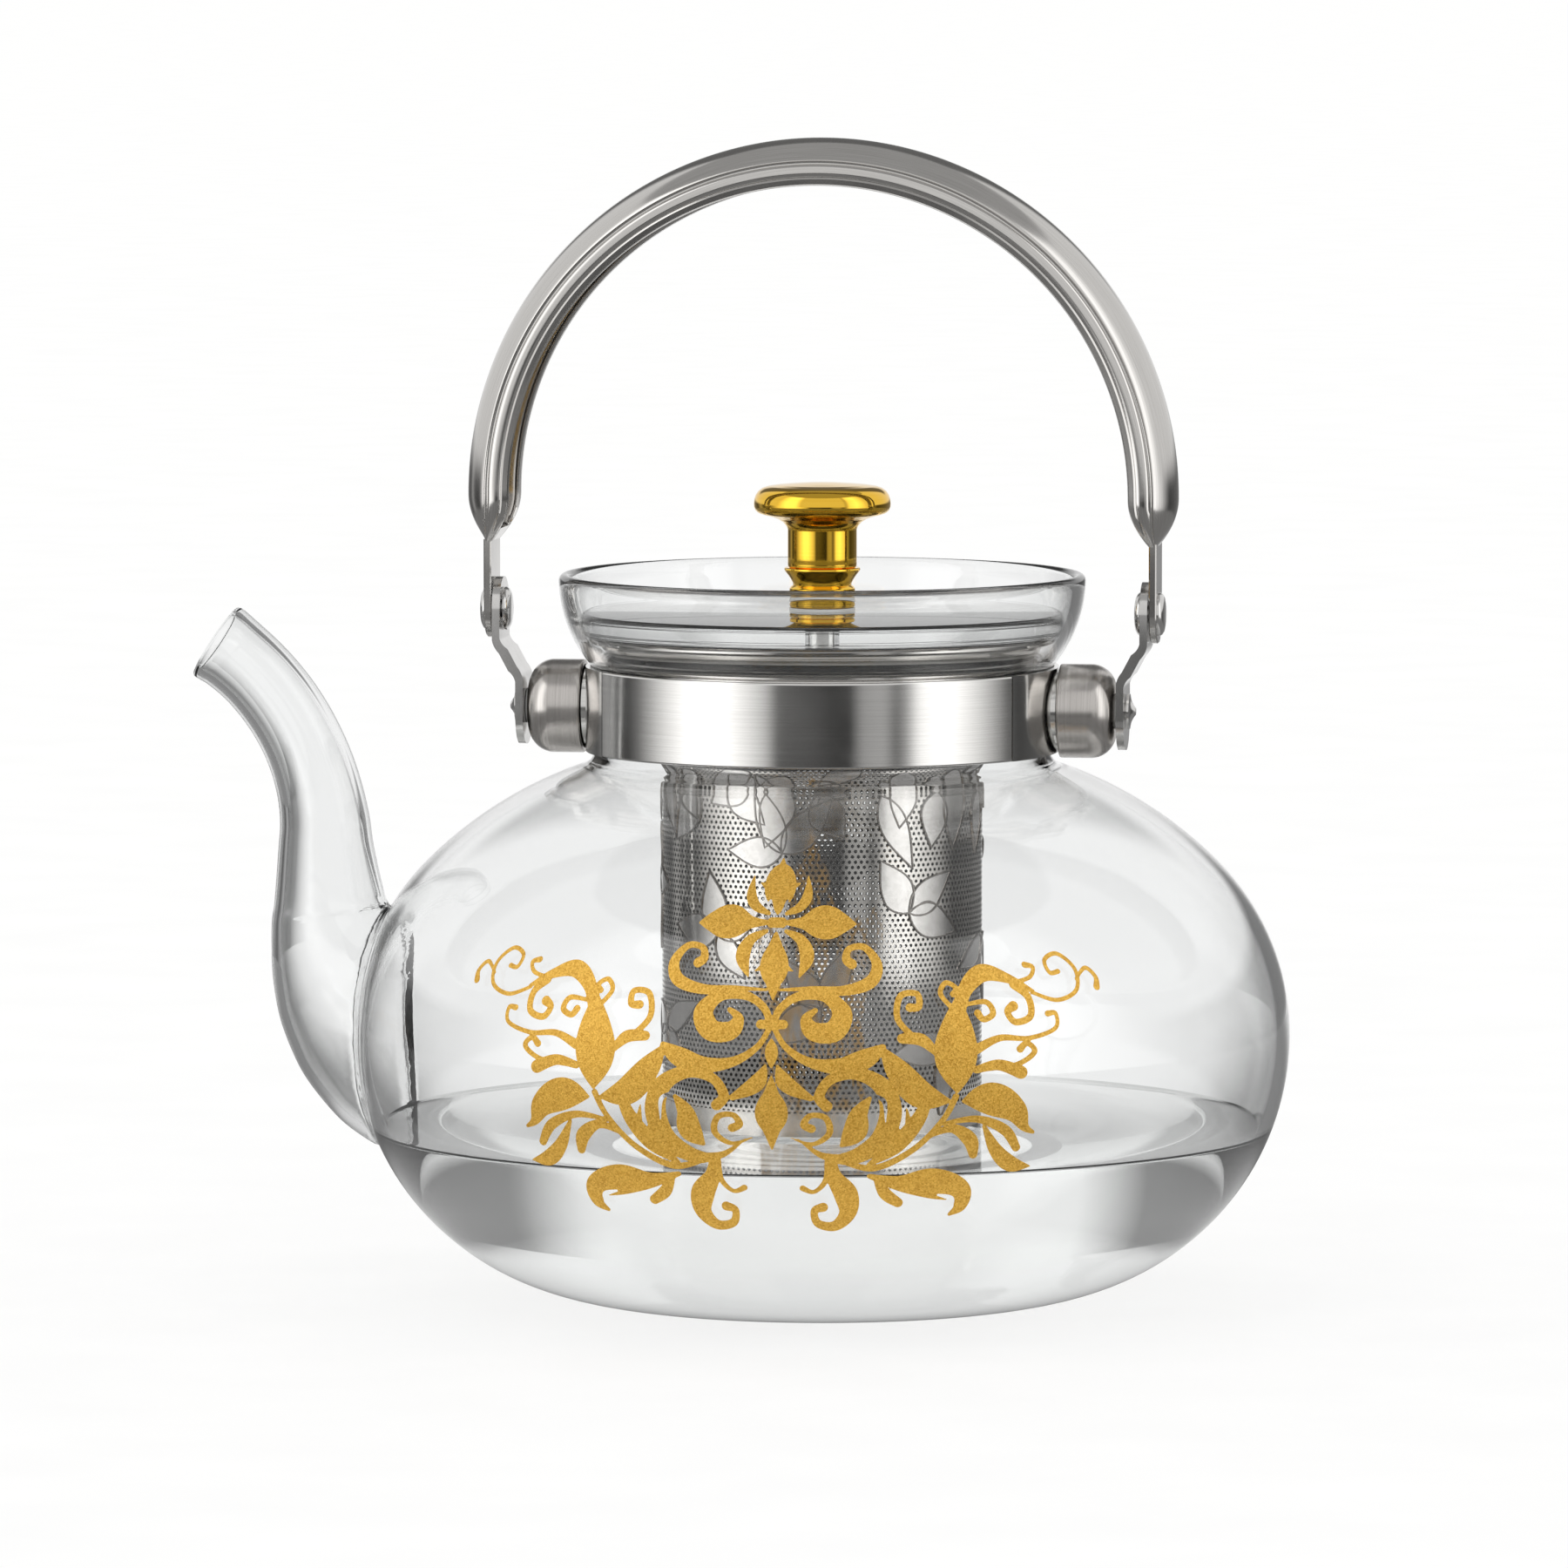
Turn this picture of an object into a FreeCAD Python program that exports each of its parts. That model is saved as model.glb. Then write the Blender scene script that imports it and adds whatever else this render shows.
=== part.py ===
import FreeCAD, Part
import math
import os
import re
import Sketcher

# A glass teapot with a steel infuser basket, a glass lid and a folding bail handle.
# Frame: origin in the middle of the base, +Z up, the spout points to -X, the front is -Y.

V = FreeCAD.Vector
doc = FreeCAD.newDocument("TeapotInfuser")

# ---------------------------------------------------------------- driving dimensions, mm
SIZES = [
    ("belly_radius", 80.0, "widest outside radius of the glass belly"),
    ("belly_height", 45.0, "height of the widest place, and the radius of the lower curve"),
    ("foot_radius", 35.0, "radius of the flat that the pot stands on"),
    ("side_curve", 41.5, "radius of the upper side, to 45 degrees"),
    ("shoulder_curve", 70.0, "radius of the shoulder above it"),
    ("glass_wall", 2.2, "wall of the belly and of the mouth"),
    ("foot_dome", 3.6, "glass thickness in the middle of the foot"),
    ("neck_radius", 39.0, "outside radius of the neck"),
    ("neck_wall", 1.9, "wall of the neck"),
    ("neck_low", 93.2, "where the shoulder has turned into the neck"),
    ("neck_ease", 2.2, "how far outside the neck the shoulder starts to turn up"),
    ("neck_turn", 3.4, "radius of that turn"),
    ("inner_ease", 1.6, "the same on the inside, from the neck's inner face"),
    ("inner_turn", 2.6, "radius of the inner turn"),
    ("neck_high", 107.6, "where the neck starts to flare"),
    ("rim_radius", 45.0, "outside radius of the mouth's rim"),
    ("rim_height", 122.7, "height of the rim"),
    ("flare_curve", 22.8, "radius of the mouth's flare"),
    ("spout_bend_across", 66.0, "the spout's lower bend: distance of its centre from the axis"),
    ("spout_bend_height", 66.8, "the spout's lower bend: height of its centre"),
    ("spout_bend", 20.0, "the spout's lower bend: radius"),
    ("spout_rise", 9.2, "straight rise between the two bends"),
    ("spout_curve", 42.0, "the spout's upper bend: radius"),
    ("spout_wall", 1.6, "wall of the spout"),
    ("liner", 0.6, "thickness of the silicone liner under the band"),
    ("band_low", 93.6, "lower edge of the neck band"),
    ("band_high", 108.0, "upper edge of the neck band"),
    ("band_sheet", 0.8, "sheet of the neck band"),
    ("pad_bite", 0.1, "how far the pad sinks into the band's sheet"),
    ("liner_short", 0.6, "how far the liner stays below the band's upper edge"),
    ("pivot_height", 100.7, "height of the lower pivots"),
    ("pad_radius", 6.6, "round pad that carries the boss"),
    ("pad_face", 40.7, "distance of the pad's face from the middle"),
    ("boss_radius", 8.0, "outside radius of the boss cap"),
    ("boss_start", 40.9, "inner end of the boss cap"),
    ("boss_end", 50.4, "outer end of the boss cap"),
    ("boss_round", 4.2, "rounding of the boss cap"),
    ("boss_sheet", 0.8, "sheet of the boss cap"),
    ("stud_radius", 3.0, "pivot stud"),
    ("shank_radius", 1.5, "shank of screws and rivets"),
    ("pin_play", 0.05, "radial clearance of a moving hole on its shank"),
    ("washer_thick", 0.4, "washer between the boss and the bracket"),
    ("strap", 1.3, "sheet of the brackets and of the handle's end straps"),
    ("bracket_start", 50.9, "inner face of the bracket's lower leg"),
    ("bracket_step", 4.0, "how far the bracket steps outwards"),
    ("bracket_width", 11.0, "width of the bracket"),
    ("head_gap", 0.2, "gap under a head that lets the joint turn"),
    ("screw_head", 3.0, "radius of the end screw's head"),
    ("hinge_height", 117.3, "height of the upper hinges"),
    ("rivet_head", 3.7, "radius of the hinge rivet's heads"),
    ("rivet_thick", 1.1, "thickness of a rivet head"),
    ("strap_width", 10.0, "width of the handle's end straps"),
    ("bow_height", 137.0, "height of the centre of the handle's bow"),
    ("bow_outer", 61.0, "outside radius of the handle's bow"),
    ("bow_depth", 8.0, "depth of the handle's channel section"),
    ("bow_width", 15.0, "width of the handle's channel section"),
    ("bow_crown", 9.0, "radius of its crowned back"),
    ("bow_sheet", 1.0, "sheet of the handle"),
    ("bow_lip", 1.6, "rolled lips on its inner edges"),
    ("tail_height", 129.0, "where the channel has narrowed to the flat strap"),
    ("collar_radius", 36.4, "outside radius of the infuser's collar"),
    ("collar_sheet", 0.6, "sheet of the infuser's collar"),
    ("flange_radius", 40.1, "radius of the infuser's flange"),
    ("flange_top", 113.6, "top of the infuser's flange"),
    ("collar_low", 101.0, "where the collar turns in to the basket"),
    ("basket_radius", 27.3, "outside radius of the basket"),
    ("basket_sheet", 0.5, "sheet of the basket"),
    ("basket_low", 30.0, "bottom of the basket"),
    ("basket_high", 98.6, "top of the basket inside the collar"),
    ("collar_lap", 5.0, "how far the collar overlaps the basket"),
    ("collar_turn", 1.5, "rounding at the collar's lower edge"),
    ("cup_depth", 3.0, "height of the basket's pressed foot"),
    ("cup_set_in", 0.4, "how far the foot sits inside the basket's lower edge"),
    ("lid_low", 113.8, "underside of the glass lid"),
    ("lid_thick", 3.8, "thickness of the glass lid"),
    ("lid_radius", 41.2, "radius of the glass lid"),
    ("seal", 0.5, "silicone washers on the lid"),
    ("knob_foot", 5.6, "radius of the knob's foot"),
    ("knob_top", 11.7, "radius of the knob's mushroom top"),
    ("knob_height", 139.3, "top of the knob"),
    ("ferrule", 6.7, "height of the knob's foot"),
    ("knob_bore", 6.0, "depth of the knob's bore for the screw"),
    ("screw_button", 4.0, "radius of the screw's button head under the lid"),
    ("button_thick", 1.6, "thickness of that head"),
]

sheet = doc.addObject("Spreadsheet::Sheet", "Sizes")
for row, (alias, value, note) in enumerate(SIZES, start=1):
    sheet.set(f"A{row}", alias)
    sheet.set(f"B{row}", str(value))
    sheet.setAlias(f"B{row}", alias)
    sheet.set(f"C{row}", note)
doc.recompute()
ALIASES = {alias for alias, _, _ in SIZES}


def size(text):
    """Number that an expression in the sheet's words comes to."""
    return float(sheet.evalExpression(text))


def bound(text):
    """The same expression as an object outside the sheet has to write it."""
    return re.sub(r"[a-z_]+", lambda m: "Sizes." + m.group() if m.group() in ALIASES else m.group(), text)


# ---------------------------------------------------------------- sketches and features
def new_body(label):
    body = doc.addObject("PartDesign::Body", label)
    body.Label = label
    return body


def new_sketch(body, plane, name, offset=None):
    """Sketch on one of the body's own planes, moved along the plane's normal by an expression."""
    sketch = body.newObject("Sketcher::SketchObject", f"{body.Label}_{name}")
    base = next(f for f in body.Origin.OriginFeatures if f.Role == plane)
    sketch.AttachmentSupport = [(base, "")]
    sketch.MapMode = "FlatFace"
    if offset:
        sketch.setExpression("AttachmentOffset.Base.z", bound(offset))
    return sketch


def pin_point(sketch, geometry, end, across, up):
    """Hold one point of a sketch at expressions measured from the sketch's origin."""
    for kind, text in (("DistanceX", across), ("DistanceY", up)):
        index = sketch.addConstraint(Sketcher.Constraint(kind, -1, 1, geometry, end, size(text)))
        if re.search("[a-z]", text):
            sketch.setExpression(f"Constraints[{index}]", bound(text))


def draw_outline(sketch, points):
    """Closed outline. A point is (across, up), or (across, up, radius, turn) where an arc leads to it:
    turn is +1 for an arc that runs anticlockwise and -1 for one that runs clockwise."""
    ends = []
    count = len(points)
    for index in range(count):
        here = points[index]
        there = points[(index + 1) % count]
        start = V(size(here[0]), size(here[1]), 0)
        stop = V(size(there[0]), size(there[1]), 0)
        if len(there) == 2:
            ends.append((sketch.addGeometry(Part.LineSegment(start, stop)), 1, 2))
            continue
        radius = size(there[2])
        turn = there[3]
        chord = stop - start
        reach = math.sqrt(max(radius ** 2 - chord.Length ** 2 / 4, 0))
        side = V(-chord.y, chord.x, 0).normalize() * turn
        centre = (start + stop) * 0.5 + side * reach
        first, last = (start, stop) if turn > 0 else (stop, start)
        angle_a = math.atan2(first.y - centre.y, first.x - centre.x)
        angle_b = math.atan2(last.y - centre.y, last.x - centre.x)
        circle = Part.Circle(centre, V(0, 0, 1), radius)
        arc = sketch.addGeometry(Part.ArcOfCircle(circle, angle_a, angle_b))
        index_r = sketch.addConstraint(Sketcher.Constraint("Radius", arc, radius))
        if re.search("[a-z]", there[2]):
            sketch.setExpression(f"Constraints[{index_r}]", bound(there[2]))
        ends.append((arc, 1, 2) if turn > 0 else (arc, 2, 1))
    for index, (geometry, start_end, stop_end) in enumerate(ends):
        after, after_start, _ = ends[(index + 1) % count]
        sketch.addConstraint(Sketcher.Constraint("Coincident", geometry, stop_end, after, after_start))
        pin_point(sketch, geometry, start_end, points[index][0], points[index][1])


def draw_circle(sketch, across, up, radius):
    circle = sketch.addGeometry(Part.Circle(V(size(across), size(up), 0), V(0, 0, 1), size(radius)))
    pin_point(sketch, circle, 3, across, up)
    index = sketch.addConstraint(Sketcher.Constraint("Radius", circle, size(radius)))
    sketch.setExpression(f"Constraints[{index}]", bound(radius))


def turned(body, points, axis="V_Axis", plane="XZ_Plane", angle=360.0, name="turned"):
    """Solid of revolution, symmetric about its sketch's plane when it isn't a whole turn."""
    sketch = new_sketch(body, plane, f"{name}_outline")
    draw_outline(sketch, points)
    feature = body.newObject("PartDesign::Revolution", f"{body.Label}_{name}")
    feature.Profile = sketch
    feature.ReferenceAxis = (sketch, [axis])
    feature.Angle = angle
    feature.Midplane = angle < 360.0
    return feature


def raised(body, draw, length, plane, offset=None, symmetric=False, name="pad"):
    """Pad of whatever draw() puts in the sketch."""
    sketch = new_sketch(body, plane, f"{name}_outline", offset)
    draw(sketch)
    feature = body.newObject("PartDesign::Pad", f"{body.Label}_{name}")
    feature.Profile = sketch
    feature.setExpression("Length", bound(length))
    feature.SideType = "Symmetric" if symmetric else "One side"
    return feature


def rounded_edges(body, feature, radius, wanted, name="rounding"):
    """Fillet on those edges of a feature that wanted(edge) picks."""
    doc.recompute()
    edges = [f"Edge{i}" for i, edge in enumerate(feature.Shape.Edges, start=1) if wanted(edge)]
    fillet = body.newObject("PartDesign::Fillet", f"{body.Label}_{name}")
    fillet.Base = (feature, edges)
    fillet.setExpression("Radius", bound(radius))
    return fillet


def place(piece, axis, text):
    piece.setExpression(f"Placement.Base.{axis}", bound(text))


def signed(side, text):
    """Expression mirrored to the left for side -1."""
    return text if side > 0 else f"-({text})"


SIDES = (("left", -1), ("right", 1))


# ---------------------------------------------------------------- glass pot
def glass_outside():
    """Outside of the pot from the foot's edge to the rim, as points of an outline."""
    shoulder = "(side_curve - shoulder_curve) * cos(45deg) + belly_radius - side_curve"
    shoulder_up = "(side_curve - shoulder_curve) * sin(45deg) + belly_height"
    neck_foot = "neck_radius + neck_ease"
    return [
        ("foot_radius", "0"),
        ("belly_radius", "belly_height", "belly_height", 1),
        ("belly_radius - side_curve + side_curve * cos(45deg)",
         "belly_height + side_curve * sin(45deg)", "side_curve", 1),
        (neck_foot,
         f"{shoulder_up} + sqrt(shoulder_curve^2 - ({neck_foot} - ({shoulder}))^2)",
         "shoulder_curve", 1),
        ("neck_radius", "neck_low", "neck_turn", -1),
        ("neck_radius", "neck_high"),
        ("rim_radius", "rim_height", "flare_curve", 1),
    ]


def glass_inside():
    """Inside of the pot from the rim down to the middle of the foot."""
    shoulder = "(side_curve - shoulder_curve) * cos(45deg) + belly_radius - side_curve"
    shoulder_up = "(side_curve - shoulder_curve) * sin(45deg) + belly_height"
    inner_neck = "neck_radius - neck_wall"
    turn_in = f"{inner_neck} + inner_ease"
    return [
        ("rim_radius - glass_wall", "rim_height", "glass_wall / 2 + 0.05", 1),
        (inner_neck, "neck_high + 0.9", "flare_curve - glass_wall", -1),
        (inner_neck, "neck_low - 1"),
        (turn_in,
         f"{shoulder_up} + sqrt((shoulder_curve - glass_wall)^2 - ({turn_in} - ({shoulder}))^2)",
         "inner_turn", 1),
        ("belly_radius - side_curve + (side_curve - glass_wall) * cos(45deg)",
         "belly_height + (side_curve - glass_wall) * sin(45deg)", "shoulder_curve - glass_wall", -1),
        ("belly_radius - glass_wall", "belly_height", "side_curve - glass_wall", -1),
        ("foot_radius", "glass_wall", "belly_height - glass_wall", -1),
        ("0", "foot_dome"),
        ("0", "0"),
    ]


pot_blank = new_body("pot_blank")
turned(pot_blank, glass_outside() + glass_inside())

pot_filled = new_body("pot_filled")
turned(pot_filled, glass_outside() + [("0", "rim_height"), ("0", "0")])

# The spout is a bent tube that widens to its root. Each station is a round section square to the
# tube's middle line: in the lower bend (degrees back from the straight rise, how much further out
# than the bend's radius, outside radius), in the upper bend (degrees, outside radius).
LOWER_BEND = [(75, 2.0, 21.5), (60, 0.9, 19.3), (45, 0.2, 16.4), (30, -0.4, 13.6), (15, -0.8, 11.3), (0, -0.7, 9.6)]
UPPER_BEND = [(0, 8.2), (12, 7.4), (24, 7.0), (36, 6.85), (47, 6.8), (57, 6.95)]


def spout_sections(name, wall):
    """Circles that the spout's surface passes through, from the root to the tip."""
    stations = []
    for degrees, extra, radius in LOWER_BEND:
        across = f"-spout_bend_across - (spout_bend + {extra}) * cos({degrees}deg)"
        up = f"spout_bend_height - (spout_bend + {extra}) * sin({degrees}deg)"
        stations.append((across, up, 90 + degrees, radius))
    for degrees, radius in UPPER_BEND:
        across = f"-spout_bend_across - spout_bend - spout_curve * (1 - cos({degrees}deg))"
        up = f"spout_bend_height + spout_rise + spout_curve * sin({degrees}deg)"
        stations.append((across, up, 90 + degrees, radius))
    circles = []
    for index, (across, up, heading, radius) in enumerate(stations):
        circle = doc.addObject("Part::Circle", f"{name}_{index}")
        circle.setExpression("Radius", bound(f"{radius} - {wall}" if wall else f"{radius}"))
        circle.Placement = FreeCAD.Placement(V(size(across), 0, size(up)), FreeCAD.Rotation(V(0, 1, 0), 90 - heading))
        place(circle, "x", across)
        place(circle, "z", up)
        circles.append(circle)
    loft = doc.addObject("Part::Loft", name)
    loft.Sections = circles
    loft.Solid = True
    return loft


def cut(label, base, tool):
    piece = doc.addObject("Part::Cut", label)
    piece.Label = label
    piece.Base = base
    piece.Tool = tool
    return piece


spout_bore = spout_sections("spout_bore", "spout_wall")
glass_bowl = cut("glass_bowl", pot_blank, spout_bore)
spout_tube = cut("spout_tube", spout_sections("spout_outside", ""), spout_sections("spout_inside", "spout_wall"))
spout = cut("spout", spout_tube, pot_filled)


# ---------------------------------------------------------------- neck band
band_liner = new_body("band_liner")
turned(band_liner, [("neck_radius", "band_low"), ("neck_radius + liner", "band_low"),
                    ("neck_radius + liner", "band_high - liner_short"), ("neck_radius", "band_high - liner_short")])


def band_section(side=""):
    """Rectangle of the band's sheet beside the axis; side "-" puts it on the negative side."""
    inner = f"{side}(neck_radius + liner)"
    outer = f"{side}(neck_radius + liner + band_sheet)"
    return [(inner, "band_low"), (outer, "band_low"), (outer, "band_high"), (inner, "band_high")]


BAND_ARC = 119.4
EAR_ARC = 59.8
neck_band_front = new_body("neck_band_front")
turned(neck_band_front, band_section("-"), plane="YZ_Plane", angle=BAND_ARC)
neck_band_rear = new_body("neck_band_rear")
turned(neck_band_rear, band_section(), plane="YZ_Plane", angle=BAND_ARC)


def ear_saddle(label, side):
    """Curved part of the band beside a pivot, with the round pad that the boss sits against."""
    body = new_body(label)
    turned(body, band_section("-" if side < 0 else ""), angle=EAR_ARC)
    pad = raised(body, lambda s: draw_circle(s, "0", "pivot_height", "pad_radius"),
                 "pad_face - neck_radius - liner - pad_bite", "YZ_Plane",
                 signed(side, "neck_radius + liner + pad_bite"), name="pad")
    pad.Reversed = side < 0
    return body


def pivot_stud(label, side):
    """Stud welded on the pad, bored for the end screw."""
    body = new_body(label)
    turned(body, [(signed(side, "pad_face"), "shank_radius"), (signed(side, "pad_face"), "stud_radius"),
                  (signed(side, "boss_end"), "stud_radius"), (signed(side, "boss_end"), "shank_radius")],
           axis="H_Axis")
    place(body, "z", "pivot_height")
    return body


def boss_cap(label, side):
    """Domed sheet cap over the stud, with a rounded outer end."""
    body = new_body(label)
    outer = [
        (signed(side, "boss_end"), "stud_radius"),
        (signed(side, "boss_end"), "boss_radius - boss_round"),
        (signed(side, "boss_end - boss_round"), "boss_radius", "boss_round", side),
        (signed(side, "boss_start"), "boss_radius"),
        (signed(side, "boss_start"), "boss_radius - boss_sheet"),
        (signed(side, "boss_end - boss_round"), "boss_radius - boss_sheet"),
        (signed(side, "boss_end - boss_sheet"), "boss_radius - boss_round", "boss_round - boss_sheet", -side),
        (signed(side, "boss_end - boss_sheet"), "stud_radius"),
    ]
    turned(body, outer, axis="H_Axis")
    place(body, "z", "pivot_height")
    return body


def pivot_washer(label, side):
    """Plain washer that the bracket turns against."""
    body = new_body(label)
    turned(body, [(signed(side, "boss_end"), "shank_radius"), (signed(side, "boss_end"), "stud_radius"),
                  (signed(side, "boss_end + washer_thick"), "stud_radius"),
                  (signed(side, "boss_end + washer_thick"), "shank_radius")], axis="H_Axis")
    place(body, "z", "pivot_height")
    return body


def end_screw(label, side):
    """Round-headed shoulder screw through the bracket into the stud."""
    body = new_body(label)
    head = "bracket_start + strap + head_gap"
    turned(body, [(signed(side, "pad_face + 2"), "0"), (signed(side, "pad_face + 2"), "shank_radius"),
                  (signed(side, head), "shank_radius"), (signed(side, head), "screw_head"),
                  (signed(side, f"{head} + 0.4"), "screw_head"),
                  (signed(side, f"{head} + 1.4"), "0.6", "4.2", side), (signed(side, f"{head} + 1.4"), "0")],
           axis="H_Axis")
    place(body, "z", "pivot_height")
    return body


for word, side in SIDES:
    ear_saddle(f"ear_saddle_{word}", side)
    pivot_stud(f"pivot_stud_{word}", side)
    boss_cap(f"boss_cap_{word}", side)
    pivot_washer(f"pivot_washer_{word}", side)
    end_screw(f"end_screw_{word}", side)


# ---------------------------------------------------------------- brackets and handle
BRACKET_DROP = 6.6
BRACKET_RISE = 5.5


def bracket(label, side):
    """S-shaped strap from the lower pivot out and up to the hinge."""
    body = new_body(label)
    inner = "bracket_start"
    outer = "bracket_start + strap"
    low = f"pivot_height - {BRACKET_DROP}"
    high = f"hinge_height + {BRACKET_RISE}"
    step = "bracket_step"
    outline = [
        (signed(side, inner), low), (signed(side, outer), low),
        (signed(side, outer), "pivot_height + 4.4"),
        (signed(side, f"{outer} + {step} * 0.3"), "pivot_height + 6.2", "3", -side),
        (signed(side, f"{outer} + {step} * 0.7"), "hinge_height - 7.4"),
        (signed(side, f"{outer} + {step}"), "hinge_height - 5.2", "4.3", side),
        (signed(side, f"{outer} + {step}"), high), (signed(side, f"{inner} + {step}"), high),
        (signed(side, f"{inner} + {step}"), "hinge_height - 4.8"),
        (signed(side, f"{inner} + {step} * 0.7 - 0.2"), "hinge_height - 6.6", "3", -side),
        (signed(side, f"{inner} + {step} * 0.3 - 0.2"), "pivot_height + 7"),
        (signed(side, inner), "pivot_height + 4.9", "4.3", side),
    ]
    strip = raised(body, lambda s: draw_outline(s, outline), "bracket_width", "XZ_Plane",
                   symmetric=True, name="strip")
    corner = size("bracket_width") / 2
    tips = (size(low), size(high))

    def is_corner(edge):
        box = edge.BoundBox
        on_side = abs(abs(box.Center.y) - corner) < 0.01 and box.YLength < 0.01
        return on_side and box.ZLength < 0.01 and min(abs(box.Center.z - tip) for tip in tips) < 0.01

    rounding = rounded_edges(body, strip, "bracket_width / 2 - 0.1", is_corner)
    hole_through(body, rounding, side, "pivot_height", "hinge_height")
    return body


def hole_through(body, before, side, *heights):
    """Round holes along X for the pins, each with a running fit."""
    doc.recompute()
    volume = before.Shape.Volume
    sketch = new_sketch(body, "YZ_Plane", "holes_outline")
    for text in heights:
        draw_circle(sketch, "0", text, "shank_radius + pin_play")
    holes = body.newObject("PartDesign::Pocket", f"{body.Label}_holes")
    holes.Profile = sketch
    holes.Type = "ThroughAll"
    holes.Reversed = side > 0
    doc.recompute()
    if holes.Shape.Volume > volume - 1:
        raise RuntimeError(f"{body.Label}: the holes cut nothing")


for word, side in SIDES:
    bracket(f"bracket_{word}", side)

# The bail: a rolled channel bent to a bow, which narrows at each end to a flat strap.
handle_bail = new_body("handle_bail")
HALF = "bow_width / 2"
BACK = "bow_outer - bow_crown + sqrt(bow_crown^2 - (bow_width / 2)^2)"
BOW_INNER = "bow_outer - bow_depth"
LIP = f"{HALF} - bow_lip"
channel = [
    (f"-({HALF})", BOW_INNER), (f"-({LIP})", BOW_INNER), (f"-({LIP})", f"{BOW_INNER} + bow_sheet"),
    (f"-({HALF} - bow_sheet)", f"{BOW_INNER} + bow_sheet"), (f"-({HALF} - bow_sheet)", BACK),
    (f"{HALF} - bow_sheet", BACK, "bow_crown - bow_sheet", -1),
    (f"{HALF} - bow_sheet", f"{BOW_INNER} + bow_sheet"), (LIP, f"{BOW_INNER} + bow_sheet"),
    (LIP, BOW_INNER), (HALF, BOW_INNER), (HALF, BACK),
    (f"-({HALF})", BACK, "bow_crown", 1),
]
bow = turned(handle_bail, channel, axis="H_Axis", plane="YZ_Plane", angle=180.0, name="bow")


STRAP_IN = "bracket_start + bracket_step + strap + head_gap"
STRAP_OUT = f"{STRAP_IN} + strap"


def bail_end(kind, name, spring, foot, tail):
    """Loft along the bail's end, from an outline at the bow's springing down to one at the tail."""
    upper = new_sketch(handle_bail, "XY_Plane", f"{name}_spring")
    draw_outline(upper, spring)
    lower = new_sketch(handle_bail, "XY_Plane", f"{name}_foot", tail)
    draw_outline(lower, foot)
    loft = handle_bail.newObject(f"PartDesign::{kind}", f"handle_bail_{name}")
    loft.Profile = upper
    loft.Sections = [lower]
    return loft


def crowned(near, edge, half, radius):
    """Outline with a flat inner side, straight flanks and a crowned outer side."""
    return [(near, f"-({half})"), (edge, f"-({half})"), (edge, half, radius, 1), (near, half)]


taper = bail_end("AdditiveLoft", "taper", crowned(BOW_INNER, BACK, HALF, "bow_crown"),
                 crowned(STRAP_IN, f"{STRAP_OUT} - 0.3", "strap_width / 2", "40"), "tail_height - bow_height")
pocket = bail_end("SubtractiveLoft", "pocket",
                  crowned(f"{BOW_INNER} - 0.5", BACK, f"{HALF} - bow_sheet", "bow_crown - bow_sheet"),
                  crowned(f"{STRAP_IN} + 0.2", f"{STRAP_OUT} - 0.5", "strap_width / 2 - 1.5", "40"),
                  "tail_height - bow_height + 2.5")


def draw_tab(sketch):
    """End strap with a rounded end round the hinge rivet's hole."""
    half = "strap_width / 2"
    top = "tail_height - bow_height"
    hinge = "hinge_height - bow_height"
    draw_outline(sketch, [(f"-({half})", top), (f"-({half})", hinge), (half, hinge, f"{half} + 0.02", 1), (half, top)])
    draw_circle(sketch, "0", hinge, "shank_radius")


tab = raised(handle_bail, draw_tab, "strap", "YZ_Plane", STRAP_IN, name="tab")
mirror = handle_bail.newObject("PartDesign::Mirrored", "handle_bail_other_end")
mirror.Originals = [taper, pocket, tab]
mirror.MirrorPlane = (next(f for f in handle_bail.Origin.OriginFeatures if f.Role == "YZ_Plane"), [""])
handle_bail.Tip = mirror
place(handle_bail, "z", "bow_height")


def hinge_rivet(label, side):
    """Rivet through the bracket and the handle's strap, with a head at each end."""
    body = new_body(label)
    inner = "bracket_start + bracket_step - head_gap"
    turned(body, [(signed(side, f"{inner} - rivet_thick"), "0"),
                  (signed(side, f"{inner} - rivet_thick"), "rivet_head - 0.4"),
                  (signed(side, f"{inner} - rivet_thick + 0.4"), "rivet_head"), (signed(side, inner), "rivet_head"),
                  (signed(side, inner), "shank_radius"), (signed(side, STRAP_OUT), "shank_radius"),
                  (signed(side, STRAP_OUT), "rivet_head"),
                  (signed(side, f"{STRAP_OUT} + rivet_thick - 0.4"), "rivet_head"),
                  (signed(side, f"{STRAP_OUT} + rivet_thick"), "rivet_head - 0.4"),
                  (signed(side, f"{STRAP_OUT} + rivet_thick"), "0")], axis="H_Axis")
    place(body, "z", "hinge_height")
    return body


for word, side in SIDES:
    hinge_rivet(f"hinge_rivet_{word}", side)


# ---------------------------------------------------------------- infuser
infuser_collar = new_body("infuser_collar")
turned(infuser_collar, [
    ("basket_radius", "basket_high - collar_lap"), ("basket_radius + collar_sheet", "basket_high - collar_lap"),
    ("basket_radius + collar_sheet", "basket_high"), ("collar_radius - collar_turn", "collar_low"),
    ("collar_radius", "collar_low + collar_turn", "collar_turn", 1), ("collar_radius", "flange_top - 4"),
    ("flange_radius - 1.2", "flange_top - collar_sheet"), ("flange_radius", "flange_top - collar_sheet"),
    ("flange_radius", "flange_top"), ("flange_radius - 1.5", "flange_top"),
    ("collar_radius - collar_sheet", "flange_top - 3.6"),
    ("collar_radius - collar_sheet", "collar_low + 1.7"),
    ("collar_radius - 2", "collar_low + 0.8"), ("basket_radius", "basket_high + 0.6"),
])
infuser_tube = new_body("infuser_tube")
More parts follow.
